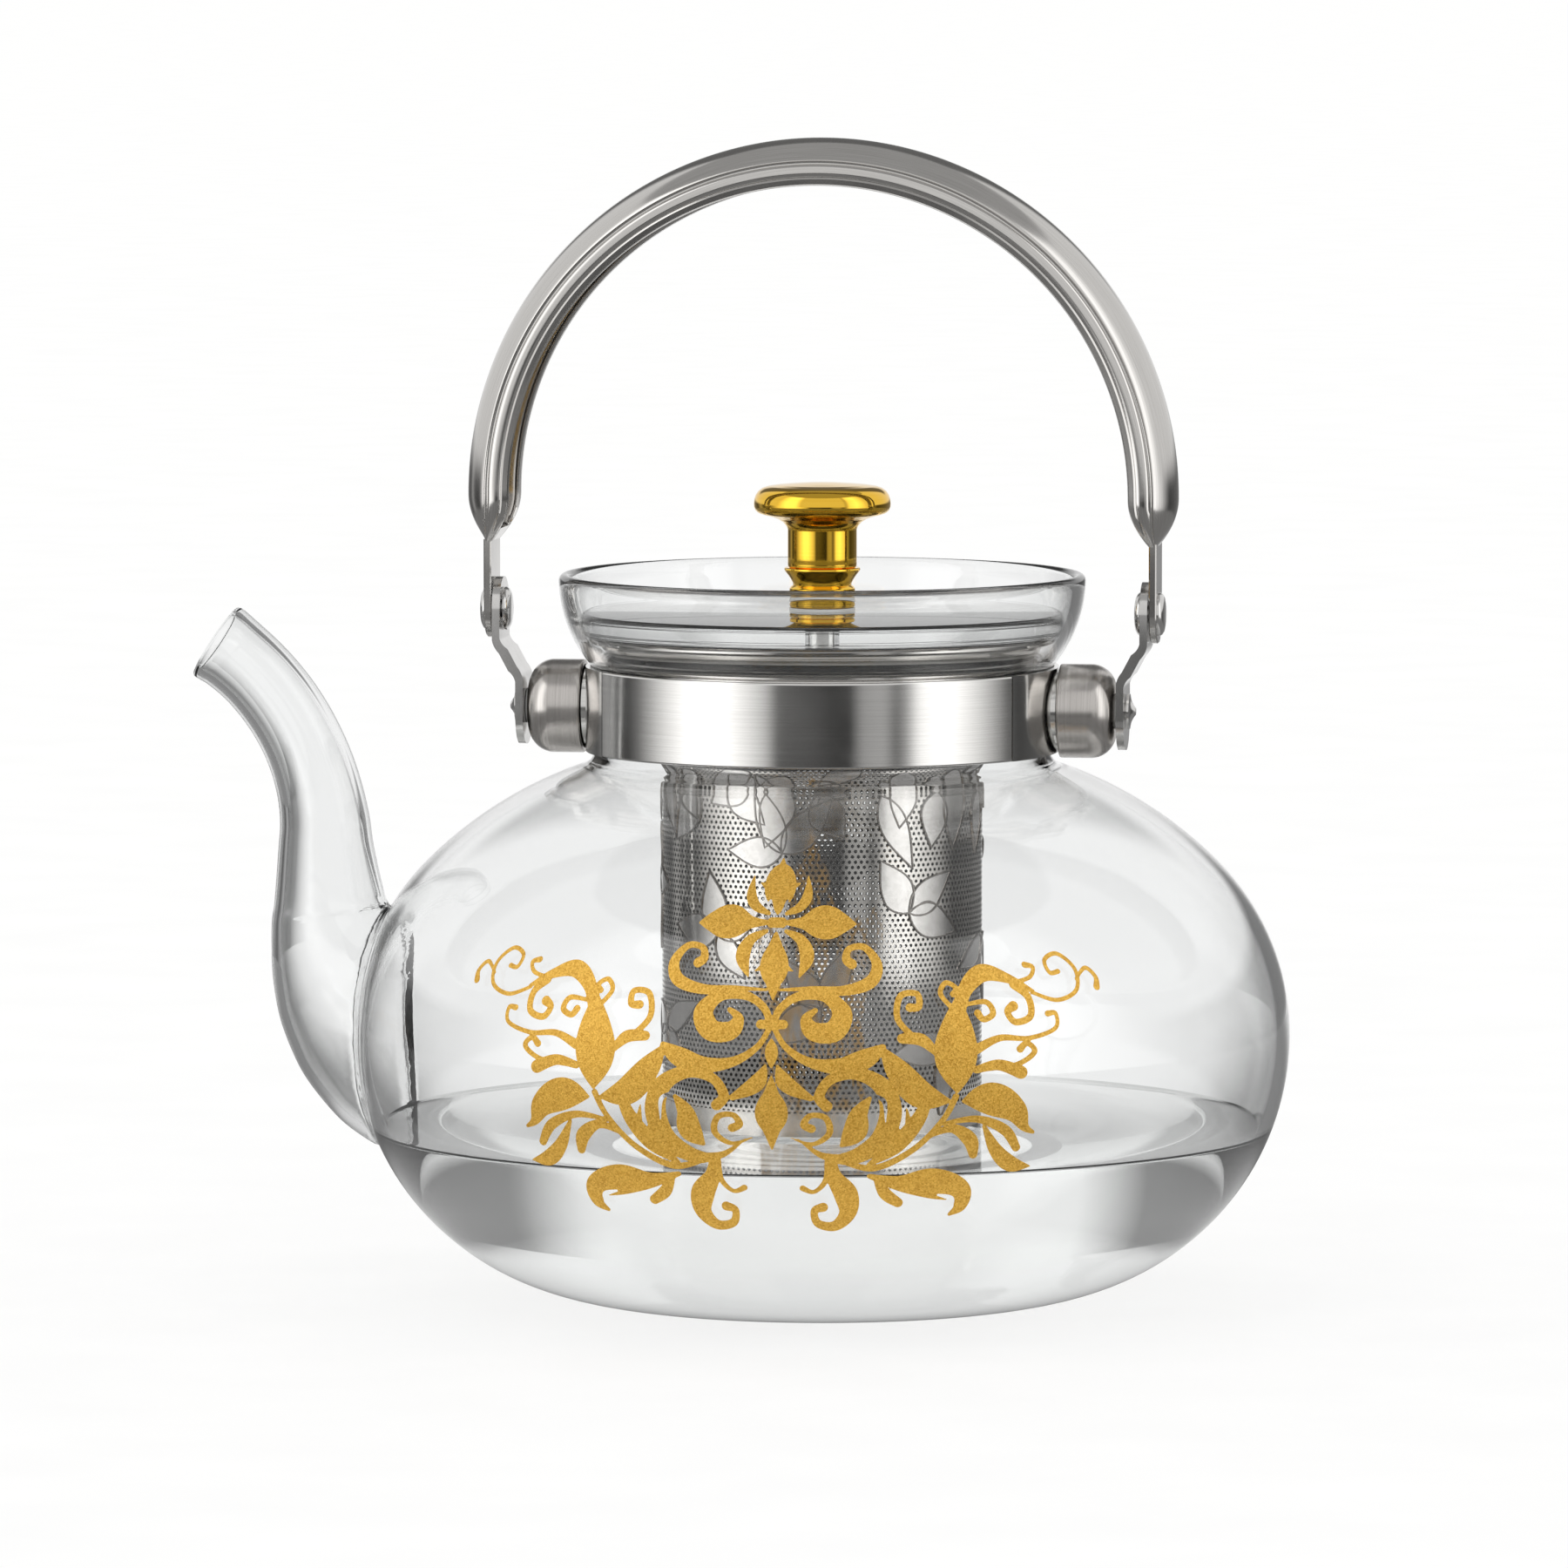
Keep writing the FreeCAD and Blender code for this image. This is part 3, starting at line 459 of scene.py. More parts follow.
# The tube's root ends inside the belly's wall, where a solid half a wall in from the outside trims it.
trimming = [(0, 1.1)] + belly_curve(GLASS_WALL / 2, 68) + [(0, 89)]
spout_rod = spout_solid("spout_rod", 0.0, 5.0, 0.0)
combine(spout_rod, lathe("trimming", trimming, segments=256), "DIFFERENCE")
combine(glass_pot, spout_rod, "UNION")
combine(glass_pot, spout_solid("spout_bore", SPOUT_WALL, 6.0, 2.0), "DIFFERENCE")
work = bmesh.new()
work.from_mesh(glass_pot.data)
work.normal_update()
rim = sharp_rim()
bmesh.ops.remove_doubles(work, verts=list(rim), dist=WELD)
work.normal_update()
rim = sharp_rim()
rim_places = KDTree(len(rim))
for number, vertex in enumerate(rim):
    rim_places.insert(vertex.co, number)
rim_places.balance()


def away(vertex):
    """Distance from a vertex to the joint's sharp edges."""
    return rim_places.find(vertex.co)[2]


for turn in range(SPLIT_TURNS):
    near = {vertex for vertex in work.verts if at_joint(vertex) and away(vertex) < MELT}
    bmesh.ops.triangulate(work, faces=[face for face in work.faces if near.intersection(face.verts)])
    long_edges = [edge for edge in work.edges
                  if edge.calc_length() > EDGE_LONGEST and near.intersection(edge.verts)]
    bmesh.ops.subdivide_edges(work, edges=long_edges, cuts=1)
melted = [(away(vertex), vertex) for vertex in work.verts if at_joint(vertex)]
for turn in range(MELT_TURNS):
    reach = MELT * (1 - turn / MELT_FADE)
    bmesh.ops.smooth_vert(work, verts=[vertex for distance, vertex in melted if distance < reach], factor=0.5,
                          use_axis_x=True, use_axis_y=True, use_axis_z=True)
bmesh.ops.triangulate(work, faces=[face for face in work.faces if len(face.verts) > 4])
bmesh.ops.recalc_face_normals(work, faces=work.faces)
work.to_mesh(glass_pot.data)
work.free()
smooth(glass_pot.data, 40.0)


def clear_material(name, tint, ior, roughness, ripple, ripple_size, shade):
    """Clear solid: refracting to the eye, and simply tinted to soft light, so what it covers stays lit.
    Slow ripples in the surface bend the light as in hand-blown glass."""
    material, add, shader, tree = new_material(name)
    waves = add("ShaderNodeTexNoise", {"Vector": object_place(add, (1, 1, 0.45)), "Scale": ripple_size,
                                       "Detail": 1.5, "Roughness": 0.4})
    relief = add("ShaderNodeBump", {"Height": waves.outputs["Fac"], "Strength": 1.0, "Distance": ripple})
    tree.links.new(relief.outputs["Normal"], shader.inputs["Normal"])
    streaks = add("ShaderNodeTexNoise", {"Vector": object_place(add), "Scale": 14.0, "Detail": 2.0})
    tones = add("ShaderNodeValToRGB", {"Fac": streaks.outputs["Fac"]})
    ramp(tones, [(0.3, tuple(0.985 * c for c in tint)), (0.7, tint)])
    tree.links.new(tones.outputs["Color"], shader.inputs["Base Color"])
    shader.inputs["Roughness"].default_value = roughness
    shader.inputs["IOR"].default_value = ior
    shader.inputs["Transmission Weight"].default_value = 1.0
    path = add("ShaderNodeLightPath")
    soft = add("ShaderNodeMath", {0: path.outputs["Is Shadow Ray"], 1: path.outputs["Is Diffuse Ray"]},
               operation="MAXIMUM")
    through = add("ShaderNodeBsdfTransparent", {"Color": (*shade, 1)})
    both = add("ShaderNodeMixShader", {"Fac": soft.outputs[0], 1: shader.outputs[0], 2: through.outputs[0]})
    tree.links.new(both.outputs[0], tree.nodes["Material Output"].inputs["Surface"])
    return material


clear_glass = clear_material("clear_borosilicate", (0.975, 0.98, 0.978), 1.47, 0.0, 0.00006, 26.0,
                             (0.95, 0.95, 0.95))
glass_pot.data.materials.append(clear_glass)
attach(glass_pot, "pot")
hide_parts("glass_bowl", "spout")


# ---------------------------------------------------------------- water
# A shallow pool of hot water stands in the belly and just reaches into the spout's root.
# Its surface climbs a little where it wets the glass, and it fills the wall's inner skin.
WATER_LEVEL = 29.5
WETTING = 0.3
pool_wall = [(r, z) for r, z in arc(FOOT_RADIUS, BELLY_HEIGHT, 42.8 + WETTING, -90, -20.0, 30)]
CLIMB = 0.45
pool_edge = 35 + 43.1 * math.cos(math.asin((WATER_LEVEL + CLIMB - 45) / 43.1))
pool = ([(0, 3.6 - WETTING), (5, 3.5 - WETTING), (12, 3.1 - WETTING), (20, 2.6 - WETTING), (28, 2.3 - WETTING)]
        + [p for p in pool_wall if p[1] < WATER_LEVEL] + [(pool_edge, WATER_LEVEL + CLIMB)]
        + [(pool_edge - inwards, WATER_LEVEL + CLIMB * math.exp(-inwards / 0.6))
           for inwards in (0.4, 0.6, 0.9, 1.3, 1.9, 2.8)] + [(40, WATER_LEVEL), (0, WATER_LEVEL)])
clear_water = clear_material("clear_water", (0.985, 0.99, 0.985), 1.333, 0.0, 0.00001, 20.0,
                             (0.96, 0.96, 0.955))
water_fill = lathe("water_fill", pool, clear_water, segments=256, sharp=60.0)
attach(water_fill, "pot")


# ---------------------------------------------------------------- printed ornament
# A scrolling leaf ornament is screen-printed on the front of the belly in matt gold ink. It is the
# same left and right of its middle line, drawn as strokes that swell and taper, in millimetres
# round the belly and up it.
PRINT_STROKES = [
    ([(0, 72.4), (0, 74.4), (0, 76.6), (0, 78.4), (0, 80.6)], [0.3, 1.5, 2.9, 1.3, 0.1]),
    ([(-3.7, 76.9), (0, 75.8), (3.7, 76.9)], [0.1, 1.0, 0.1]),
    ([(1.2, 70.9), (4.6, 70.9), (8.0, 71.0), (10.6, 71.0), (13.4, 70.8)], [0.3, 1.0, 2.6, 1.7, 0.1]),
    ([(0, 69.2), (0, 67.0), (0, 64.2), (0, 61.8), (0, 58.8)], [0.3, 1.2, 2.3, 1.3, 0.1]),
    ([(-3.0, 63.4), (0, 64.6), (3.0, 63.4)], [0.1, 0.9, 0.1]),
    ([(1.5, 72.3), (3.9, 73.4), (5.1, 75.2), (5.1, 78.0)], [0.3, 0.75, 0.85, 0.1]),
    ([(1.6, 69.6), (4.2, 68.2), (5.2, 65.6), (4.0, 62.4)], [0.3, 0.85, 1.15, 0.1]),
    ([(-0.9, 70.9), (0.9, 70.9)], [0.8, 0.8]),
    ([(1.0, 60.4), (6.0, 60.6), (11.0, 60.4), (15.2, 61.8), (16.4, 64.6), (14.6, 67.2), (12.1, 67.0),
      (11.5, 65.4), (12.4, 64.6)], [0.2, 0.45, 0.8, 1.0, 0.85, 0.55, 0.5, 0.7, 0.8]),
    ([(0.2, 54.6), (1.2, 57.4), (4.0, 59.4), (8.2, 59.4), (10.7, 56.8), (9.4, 53.9), (6.4, 53.8), (5.2, 55.8),
      (6.6, 57.2)], [0.5, 0.6, 0.7, 0.9, 1.5, 1.7, 1.5, 0.8, 0.4]),
    ([(-1.7, 54.9), (1.7, 54.9)], [0.75, 0.75]),
    ([(0.3, 54.4), (2.2, 51.2), (5.8, 48.8), (10.2, 48.2), (14.0, 49.4), (16.8, 51.4)],
     [0.4, 0.5, 0.8, 1.3, 1.6, 0.5]),
    ([(0, 52.6), (0, 50.4), (0, 48.0)], [0.1, 1.0, 0.2]),
    ([(0.9, 48.2), (2.3, 45.2), (5.9, 42.9)], [0.2, 1.3, 0.5]),
    ([(0, 46.6), (0, 43.4), (0, 40.4), (0, 37.8), (0, 34.2)], [0.1, 1.2, 2.5, 1.4, 0.1]),
    ([(8.3, 41.6), (7.2, 43.2), (8.9, 46.0), (12.8, 47.0), (16.6, 45.0), (18.0, 40.8), (16.6, 36.2),
      (13.2, 33.4),
      (9.6, 32.8)], [0.9, 0.8, 0.8, 1.0, 1.4, 1.7, 1.6, 1.3, 0.5]),
    ([(14.8, 43.0), (13.2, 40.4), (12.6, 37.4), (10.6, 35.0)], [0.3, 1.3, 1.8, 0.3]),
    ([(3.0, 36.2), (6.2, 35.2), (8.7, 37.0), (8.2, 39.6), (5.9, 40.0), (4.9, 38.5), (6.0, 37.8)],
     [0.1, 0.35, 0.5, 0.5, 0.45, 0.6, 0.7]),
    ([(11.0, 32.6), (7.4, 33.4), (4.0, 36.0)], [0.9, 0.5, 0.1]),
    ([(9.4, 32.4), (9.6, 29.6), (11.4, 26.6), (11.8, 23.4), (9.8, 21.0), (7.0, 21.4), (6.4, 23.6), (7.8, 24.3)],
     [0.4, 1.2, 1.9, 1.4, 0.9, 0.7, 0.6, 0.8]),
    ([(8.4, 32.2), (8.2, 29.0), (6.4, 27.0), (4.6, 27.6)], [0.4, 0.45, 0.35, 0.5]),
    ([(28.2, 44.2), (28.0, 49.4), (28.3, 53.6), (28.9, 60.0)], [0.3, 3.2, 2.8, 0.1]),
    ([(27.0, 42.6), (22.6, 43.6), (19.2, 47.4), (16.8, 51.0)], [0.3, 2.2, 1.9, 0.4]),
    ([(29.2, 42.6), (33.6, 43.0), (37.4, 41.2), (39.2, 38.4), (40.8, 37.4)], [0.3, 2.7, 2.0, 0.8, 0.3]),
    ([(31.2, 47.8), (34.8, 48.6), (38.4, 47.4)], [0.6, 0.9, 1.1]),
    ([(25.2, 50.2), (22.8, 52.6), (19.8, 52.8)], [0.4, 1.0, 0.8]),
    ([(21.6, 53.0), (19.2, 56.0), (19.8, 59.6), (22.4, 60.0), (22.6, 58.0), (21.2, 57.8)],
     [0.5, 0.5, 0.5, 0.5, 0.55, 0.7]),
    ([(31.4, 51.2), (35.2, 53.0), (40.0, 53.0), (44.6, 54.6), (45.0, 57.0), (43.6, 57.0)],
     [0.8, 0.55, 0.4, 0.35, 0.35, 0.5]),
    ([(32.6, 47.8), (38.0, 48.8), (40.8, 50.8), (39.6, 52.2), (38.4, 51.2)], [0.3, 0.4, 0.45, 0.45, 0.6]),
    ([(29.4, 56.6), (30.2, 60.6), (33.4, 63.4), (37.6, 62.6), (41.6, 60.6)], [0.4, 1.1, 1.4, 0.8, 0.3]),
    ([(28.2, 57.4), (26.2, 60.0), (27.2, 61.8), (28.8, 61.0), (28.2, 60.0)], [0.4, 0.4, 0.4, 0.4, 0.5]),
    ([(30.2, 58.4), (33.4, 58.8), (34.4, 57.0), (32.8, 56.0), (31.9, 57.0)], [0.3, 0.45, 0.5, 0.5, 0.6]),
    ([(38.6, 62.0), (41.4, 62.8), (42.4, 64.4), (41.0, 64.8)], [0.3, 0.35, 0.35, 0.5]),
    ([(38.4, 61.6), (40.6, 59.6), (40.6, 56.6), (38.0, 55.6), (36.8, 57.2), (37.9, 58.2)],
     [0.7, 0.6, 0.55, 0.55, 0.55, 0.8]),
    ([(41.4, 60.4), (45.6, 59.2), (49.4, 60.8), (50.0, 64.2), (47.4, 66.6), (44.8, 65.6), (45.2, 63.6),
      (46.8, 63.8)], [0.3, 0.35, 0.35, 0.35, 0.35, 0.35, 0.35, 0.4]),
    ([(49.8, 62.6), (52.0, 64.4), (53.6, 63.0), (53.4, 61.4)], [0.25, 0.35, 0.4, 0.6]),
    ([(10.0, 32.6), (15.6, 31.2), (21.6, 34.4), (26.0, 39.4), (28.0, 43.4)], [0.4, 0.55, 0.5, 0.45, 0.5]),
    ([(14.8, 31.8), (18.8, 35.0), (21.8, 38.8), (23.2, 42.2), (22.0, 43.4)], [0.3, 1.3, 1.2, 0.8, 0.5]),
    ([(17.4, 34.6), (16.8, 37.2)], [0.7, 0.1]),
    ([(19.2, 36.4), (18.8, 39.2)], [0.7, 0.1]),
    ([(20.8, 38.6), (20.4, 41.4)], [0.6, 0.1]),
    ([(15.0, 29.8), (19.8, 28.6), (25.0, 28.6), (29.4, 27.4), (30.2, 24.8), (28.6, 23.2)],
     [0.4, 1.3, 2.6, 2.0, 1.1, 0.3]),
    ([(16.0, 29.4), (17.6, 26.8), (19.8, 25.2)], [0.4, 1.0, 0.8]),
    ([(23.4, 36.4), (27.4, 38.0), (30.4, 36.2), (31.2, 33.6)], [0.3, 0.7, 1.2, 0.7]),
    ([(26.0, 38.8), (31.4, 39.6), (36.0, 37.8), (38.2, 34.8)], [0.3, 0.6, 0.9, 0.7]),
    ([(32.6, 38.4), (34.8, 34.4), (37.6, 32.0), (41.0, 31.6)], [0.3, 1.1, 1.3, 0.1]),
]
PRINT_VEINS = [([(1.5, 74.2), (0.7, 72.6)], [0.25, 0.1]),
               ([(15.2, 43.6), (17.0, 42.4), (17.2, 39.0)], [0.2, 0.35, 0.1]),
               ([(26.2, 26.6), (28.4, 26.0), (28.8, 24.6)], [0.2, 0.45, 0.2])]
PRINT_HALF, PRINT_LOW, PRINT_HIGH = 56.0, 19.0, 82.0
PRINT_STEP = 0.22
PRINT_SAMPLE = 0.12
PRINT_CURVE = 73.0
PRINT_TURN = math.radians(1.5)
INK_LOW, INK_HIGH = -0.045, -0.008


def swelling(line, widths):
    """Closely spaced (across, up, half width) along a smooth line through the given points."""
    keys = [(x, y, w) for (x, y), w in zip(line, widths)]
    out = []
    for i in range(len(keys) - 1):
        around = keys[max(i - 1, 0)], keys[i], keys[i + 1], keys[min(i + 2, len(keys) - 1)]
        steps = max(2, int(math.hypot(keys[i + 1][0] - keys[i][0], keys[i + 1][1] - keys[i][1]) / PRINT_SAMPLE))
        for t in (step / steps for step in range(steps + 1)):
            out.append([0.5 * (2 * b + (c - a) * t + (2 * a - 5 * b + 4 * c - d) * t * t
                               + (3 * b - a - 3 * c + d) * t ** 3) for a, b, c, d in zip(*around)])
    return out


def distance_field(strokes):
    """Distance from the strokes' edge at each place of the grid, negative inside."""
    columns = int(2 * PRINT_HALF / PRINT_STEP) + 1
    levels = int((PRINT_HIGH - PRINT_LOW) / PRINT_STEP) + 1
    field = np.full((levels, columns), 2.0)
    xs = np.arange(columns) * PRINT_STEP - PRINT_HALF
    ys = np.arange(levels) * PRINT_STEP + PRINT_LOW
    for line, widths in strokes:
        for x, y, w in swelling(line, widths):
            w = max(w, 0.05)
            for mirror in (x, -x):
                reach = w + 3 * PRINT_STEP
                i0, i1 = np.searchsorted(xs, (mirror - reach, mirror + reach))
                j0, j1 = np.searchsorted(ys, (y - reach, y + reach))
                part = field[j0:j1, i0:i1]
                away = np.hypot(xs[i0:i1][None, :] - mirror, ys[j0:j1][:, None] - y) - w
                np.minimum(part, away, out=part)
    return field


ink_field = np.maximum(distance_field(PRINT_STROKES), -distance_field(PRINT_VEINS))
levels, columns = ink_field.shape
flat_points, flat_faces, known = [], [], {}


def flat_point(a, b):
    """Number of the grid point a, or of the place between a and b where the ink's edge crosses."""
    key = (min(a, b), max(a, b))
    if key not in known:
        fa, fb = ink_field[a], ink_field[b]
        t = 0.0 if a == b else fa / (fa - fb)
        known[key] = len(flat_points)
        flat_points.append(((a[1] + (b[1] - a[1]) * t) * PRINT_STEP - PRINT_HALF,
                            (a[0] + (b[0] - a[0]) * t) * PRINT_STEP + PRINT_LOW))
    return known[key]


inside = ink_field < 0
corner_count = (inside[:-1, :-1].astype(int) + inside[1:, :-1] + inside[:-1, 1:] + inside[1:, 1:])
for j, i in zip(*np.nonzero(corner_count)):
    a, b, c, d = (int(j), int(i)), (int(j), int(i) + 1), (int(j) + 1, int(i) + 1), (int(j) + 1, int(i))
    if corner_count[j, i] == 4:
        flat_faces.append([flat_point(p, p) for p in (a, b, c, d)])
        continue
    for corners in ((a, b, c), (a, c, d)):
        face = []
        for here, there in zip(corners, corners[1:] + corners[:1]):
            if inside[here]:
                face.append(flat_point(here, here))
            if inside[here] != inside[there]:
                face.append(flat_point(*sorted((here, there))))
        if len(face) > 2:
            flat_faces.append(face)


BELLY_FRONT, PRINT_SAG = 73.0, 0.1


def on_belly(around, up, lift):
    """Place on the belly's front for a place on the flat ornament, lifted off the surface."""
    bearing = around / PRINT_CURVE
    height = up - PRINT_SAG * BELLY_FRONT * (1 - math.cos(bearing))
    if height <= BELLY_HEIGHT:
        across, level, curve = FOOT_RADIUS, BELLY_HEIGHT, BELLY_CURVE
    elif height <= BELLY_HEIGHT + SIDE_CURVE * math.sin(math.pi / 4):
        across, level, curve = SIDE_ACROSS, BELLY_HEIGHT, SIDE_CURVE
    else:
        across, level, curve = SHOULDER_ACROSS, SHOULDER_UP, SHOULDER_CURVE
    slope = math.asin((height - level) / curve)
    radius = across + (curve + lift) * math.cos(slope)
    bearing += PRINT_TURN
    return (radius * math.sin(bearing), -radius * math.cos(bearing), level + (curve + lift) * math.sin(slope))


points = [on_belly(x, y, INK_HIGH) for x, y in flat_points] + [on_belly(x, y, INK_LOW) for x, y in flat_points]
below = len(flat_points)
faces = list(flat_faces) + [[below + v for v in reversed(face)] for face in flat_faces]
border = {}
for face in flat_faces:
    for here, there in zip(face, face[1:] + face[:1]):
        border[(here, there)] = True
for here, there in border:
    if (there, here) not in border:
        faces.append([there, here, below + here, below + there])
print_mesh = mesh_from("belly_print", points, faces)
smooth(print_mesh, 40.0)
gold_ink, add, shader, tree = new_material("gold_ink")
flakes = add("ShaderNodeTexVoronoi", {"Vector": object_place(add), "Scale": 4200.0})
patches = add("ShaderNodeTexNoise", {"Vector": object_place(add), "Scale": 420.0, "Detail": 4.0})
sparkle = add("ShaderNodeMapRange", {"Value": flakes.outputs["Color"], "From Min": 0.1, "From Max": 0.9})
ink = add("ShaderNodeMix", {0: patches.outputs["Fac"], 6: (0.38, 0.175, 0.012, 1), 7: (0.66, 0.355, 0.035, 1)},
          data_type="RGBA")
glint = add("ShaderNodeMix", {0: sparkle.outputs["Result"], 6: ink.outputs[2], 7: (0.84, 0.51, 0.09, 1)},
            data_type="RGBA")
glint.inputs[0].default_value = 0.3
tree.links.new(glint.outputs[2], shader.inputs["Base Color"])
matt = add("ShaderNodeMapRange", {"Value": patches.outputs["Fac"], "To Min": 0.36, "To Max": 0.56})
tree.links.new(matt.outputs["Result"], shader.inputs["Roughness"])
relief = add("ShaderNodeBump", {"Height": flakes.outputs["Distance"], "Strength": 0.6, "Distance": 0.00006})
tree.links.new(relief.outputs["Normal"], shader.inputs["Normal"])
shader.inputs["Metallic"].default_value = 0.55
belly_print = new_piece("belly_print", print_mesh, gold_ink)
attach(belly_print, "pot")


# ---------------------------------------------------------------- neck band
# A polished steel band in four curved parts is clamped round the glass neck over a thin silicone
# liner. The two side parts carry the round pads and studs of the handle's pivots.
FLOAT, VECTOR, COLOUR = "NodeSocketFloat", "NodeSocketVector", "NodeSocketColor"


def effect_group(name, inputs, outputs):
    """Empty shader node group with named inputs, given as (name, kind, value), and outputs."""
    group = bpy.data.node_groups.new(name, "ShaderNodeTree")
    for label, kind, value in inputs:
        socket = group.interface.new_socket(label, in_out="INPUT", socket_type=kind)
        if value is not None:
            socket.default_value = value
    for label, kind in outputs:
        group.interface.new_socket(label, in_out="OUTPUT", socket_type=kind)
    return group, nodes_of(group)


grain, add = effect_group(
    "metal_grain",
    [("Vector", VECTOR, None), ("Place", VECTOR, None), ("Dark", COLOUR, (0.5, 0.5, 0.5, 1)),
     ("Light", COLOUR, (0.7, 0.7, 0.7, 1)), ("Smooth", FLOAT, 0.1), ("Rough", FLOAT, 0.2),
     ("Depth", FLOAT, 0.00001)],
    [("Color", COLOUR), ("Roughness", FLOAT), ("Normal", VECTOR)])
given = add("NodeGroupInput").outputs
scratches = add("ShaderNodeTexNoise",
                {"Vector": given["Vector"], "Scale": 1.0, "Detail": 5.0, "Roughness": 0.65})
handling = add("ShaderNodeTexNoise",
               {"Vector": given["Place"], "Scale": 55.0, "Detail": 3.0, "Roughness": 0.55})
tone = add("ShaderNodeMapRange", {"Value": scratches.outputs["Fac"], "From Min": 0.25, "From Max": 0.75})
colour = add("ShaderNodeMix", {0: tone.outputs["Result"], 6: given["Dark"], 7: given["Light"]},
             data_type="RGBA")
dull = add("ShaderNodeMapRange", {"Value": handling.outputs["Fac"], "From Min": 0.3, "From Max": 0.7,
                                  "To Min": given["Smooth"], "To Max": given["Rough"]})
relief = add("ShaderNodeBump", {"Height": scratches.outputs["Fac"], "Strength": 1.0,
                                "Distance": given["Depth"]})
add("NodeGroupOutput", {"Color": colour.outputs[2], "Roughness": dull.outputs["Result"],
                        "Normal": relief.outputs["Normal"]})


def metal(name, dark, light, smoothness, roughness, depth, scale, along_piece=False):
    """Metal with fine brushing. Its scale is per metre on the three axes, or per metre along and
    across the piece's own UV map; the brushing lines run along the axis with the small number."""
    material, add, shader, tree = new_material(name)
    where = object_place(add)
    if along_piece:
        own = add("ShaderNodeTexCoord")
        brushed = add("ShaderNodeMapping", {"Vector": own.outputs["UV"]})
        brushed.inputs["Scale"].default_value = scale
        vector = brushed.outputs["Vector"]
    else:
        vector = object_place(add, scale)
    worn = add("ShaderNodeGroup", node_tree=grain)
    tree.links.new(vector, worn.inputs["Vector"])
    tree.links.new(where, worn.inputs["Place"])
    for label, value in (("Dark", (*dark, 1)), ("Light", (*light, 1)), ("Smooth", smoothness),
                         ("Rough", roughness), ("Depth", depth)):
        worn.inputs[label].default_value = value
    tree.links.new(worn.outputs["Color"], shader.inputs["Base Color"])
    tree.links.new(worn.outputs["Roughness"], shader.inputs["Roughness"])
    tree.links.new(worn.outputs["Normal"], shader.inputs["Normal"])
    shader.inputs["Metallic"].default_value = 1.0
    return material


def finished(piece, body, slot, *nodes):
    """Ride on a body and stand for CAD nodes; the slot is not used."""
    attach(piece, body)
    if nodes:
        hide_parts(*nodes)
    return piece


def smoothed(node, body, slot, material, sharp=32.0):
    """Merged and smoothly shaded copy of a CAD node, which it stands for."""
    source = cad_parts[node].data
    points = [vertex.co / MM for vertex in source.vertices]
    mesh = mesh_from(f"{node}_part", points, [tuple(face.vertices) for face in source.polygons])
    smooth(mesh, sharp)
    return finished(new_piece(f"{node}_part", mesh, material), body, slot, node)


def curved_strip(name, profile, middle, angle, material, segments=96):
    """Closed profile turned through an angle about Z, its middle at a bearing in degrees."""
    points, faces = [], []
    count = len(profile)
    for step in range(segments + 1):
        a = math.radians(middle + angle * (step / segments - 0.5))
        points += [(r * math.cos(a), r * math.sin(a), z) for r, z in profile]
    for step in range(segments):
        for i in range(count):
            here, there = step * count + i, step * count + (i + 1) % count
            faces.append((here, here + count, there + count, there))
    faces.append(tuple(range(count)))
    faces.append(tuple(range(segments * count, (segments + 1) * count)))
    mesh = mesh_from(name, points, faces)
    smooth(mesh, 30.0)
    return new_piece(name, mesh, material)


BAND_INNER, BAND_OUTER = 39.6, 40.4
BAND_LOW, BAND_HIGH = 93.6, 108.0
BAND_EDGE = 0.25
BAND_ARC = 119.4
band_steel = metal("band_steel", (0.60, 0.59, 0.57), (0.72, 0.71, 0.69), 0.10, 0.17, 0.0000012, (40, 40, 6000))
soft = 0.3 * BAND_EDGE
band_section = [(BAND_INNER, BAND_LOW), (BAND_OUTER - BAND_EDGE, BAND_LOW),
                (BAND_OUTER - soft, BAND_LOW + soft),
                (BAND_OUTER, BAND_LOW + BAND_EDGE), (BAND_OUTER, BAND_HIGH - BAND_EDGE),
                (BAND_OUTER - soft, BAND_HIGH - soft), (BAND_OUTER - BAND_EDGE, BAND_HIGH),
                (BAND_INNER, BAND_HIGH)]
for word, bearing in (("front", -90), ("rear", 90)):
    finished(curved_strip(f"neck_band_{word}_sheet", supported(band_section), bearing, BAND_ARC, band_steel),
             "pot", "band_steel", f"neck_band_{word}")
for word in ("left", "right"):
    smoothed(f"ear_saddle_{word}", "pot", "satin_steel", band_steel)

liner_silicone, add, shader, tree = new_material("liner_silicone")
haze = add("ShaderNodeTexNoise", {"Vector": object_place(add), "Scale": 220.0, "Detail": 3.0})
tones = add("ShaderNodeValToRGB", {"Fac": haze.outputs["Fac"]})
ramp(tones, [(0.3, (0.70, 0.70, 0.68)), (0.7, (0.80, 0.80, 0.78))])
tree.links.new(tones.outputs["Color"], shader.inputs["Base Color"])
shader.inputs["Roughness"].default_value = 0.45
smoothed("band_liner", "pot", "clear_silicone", liner_silicone)


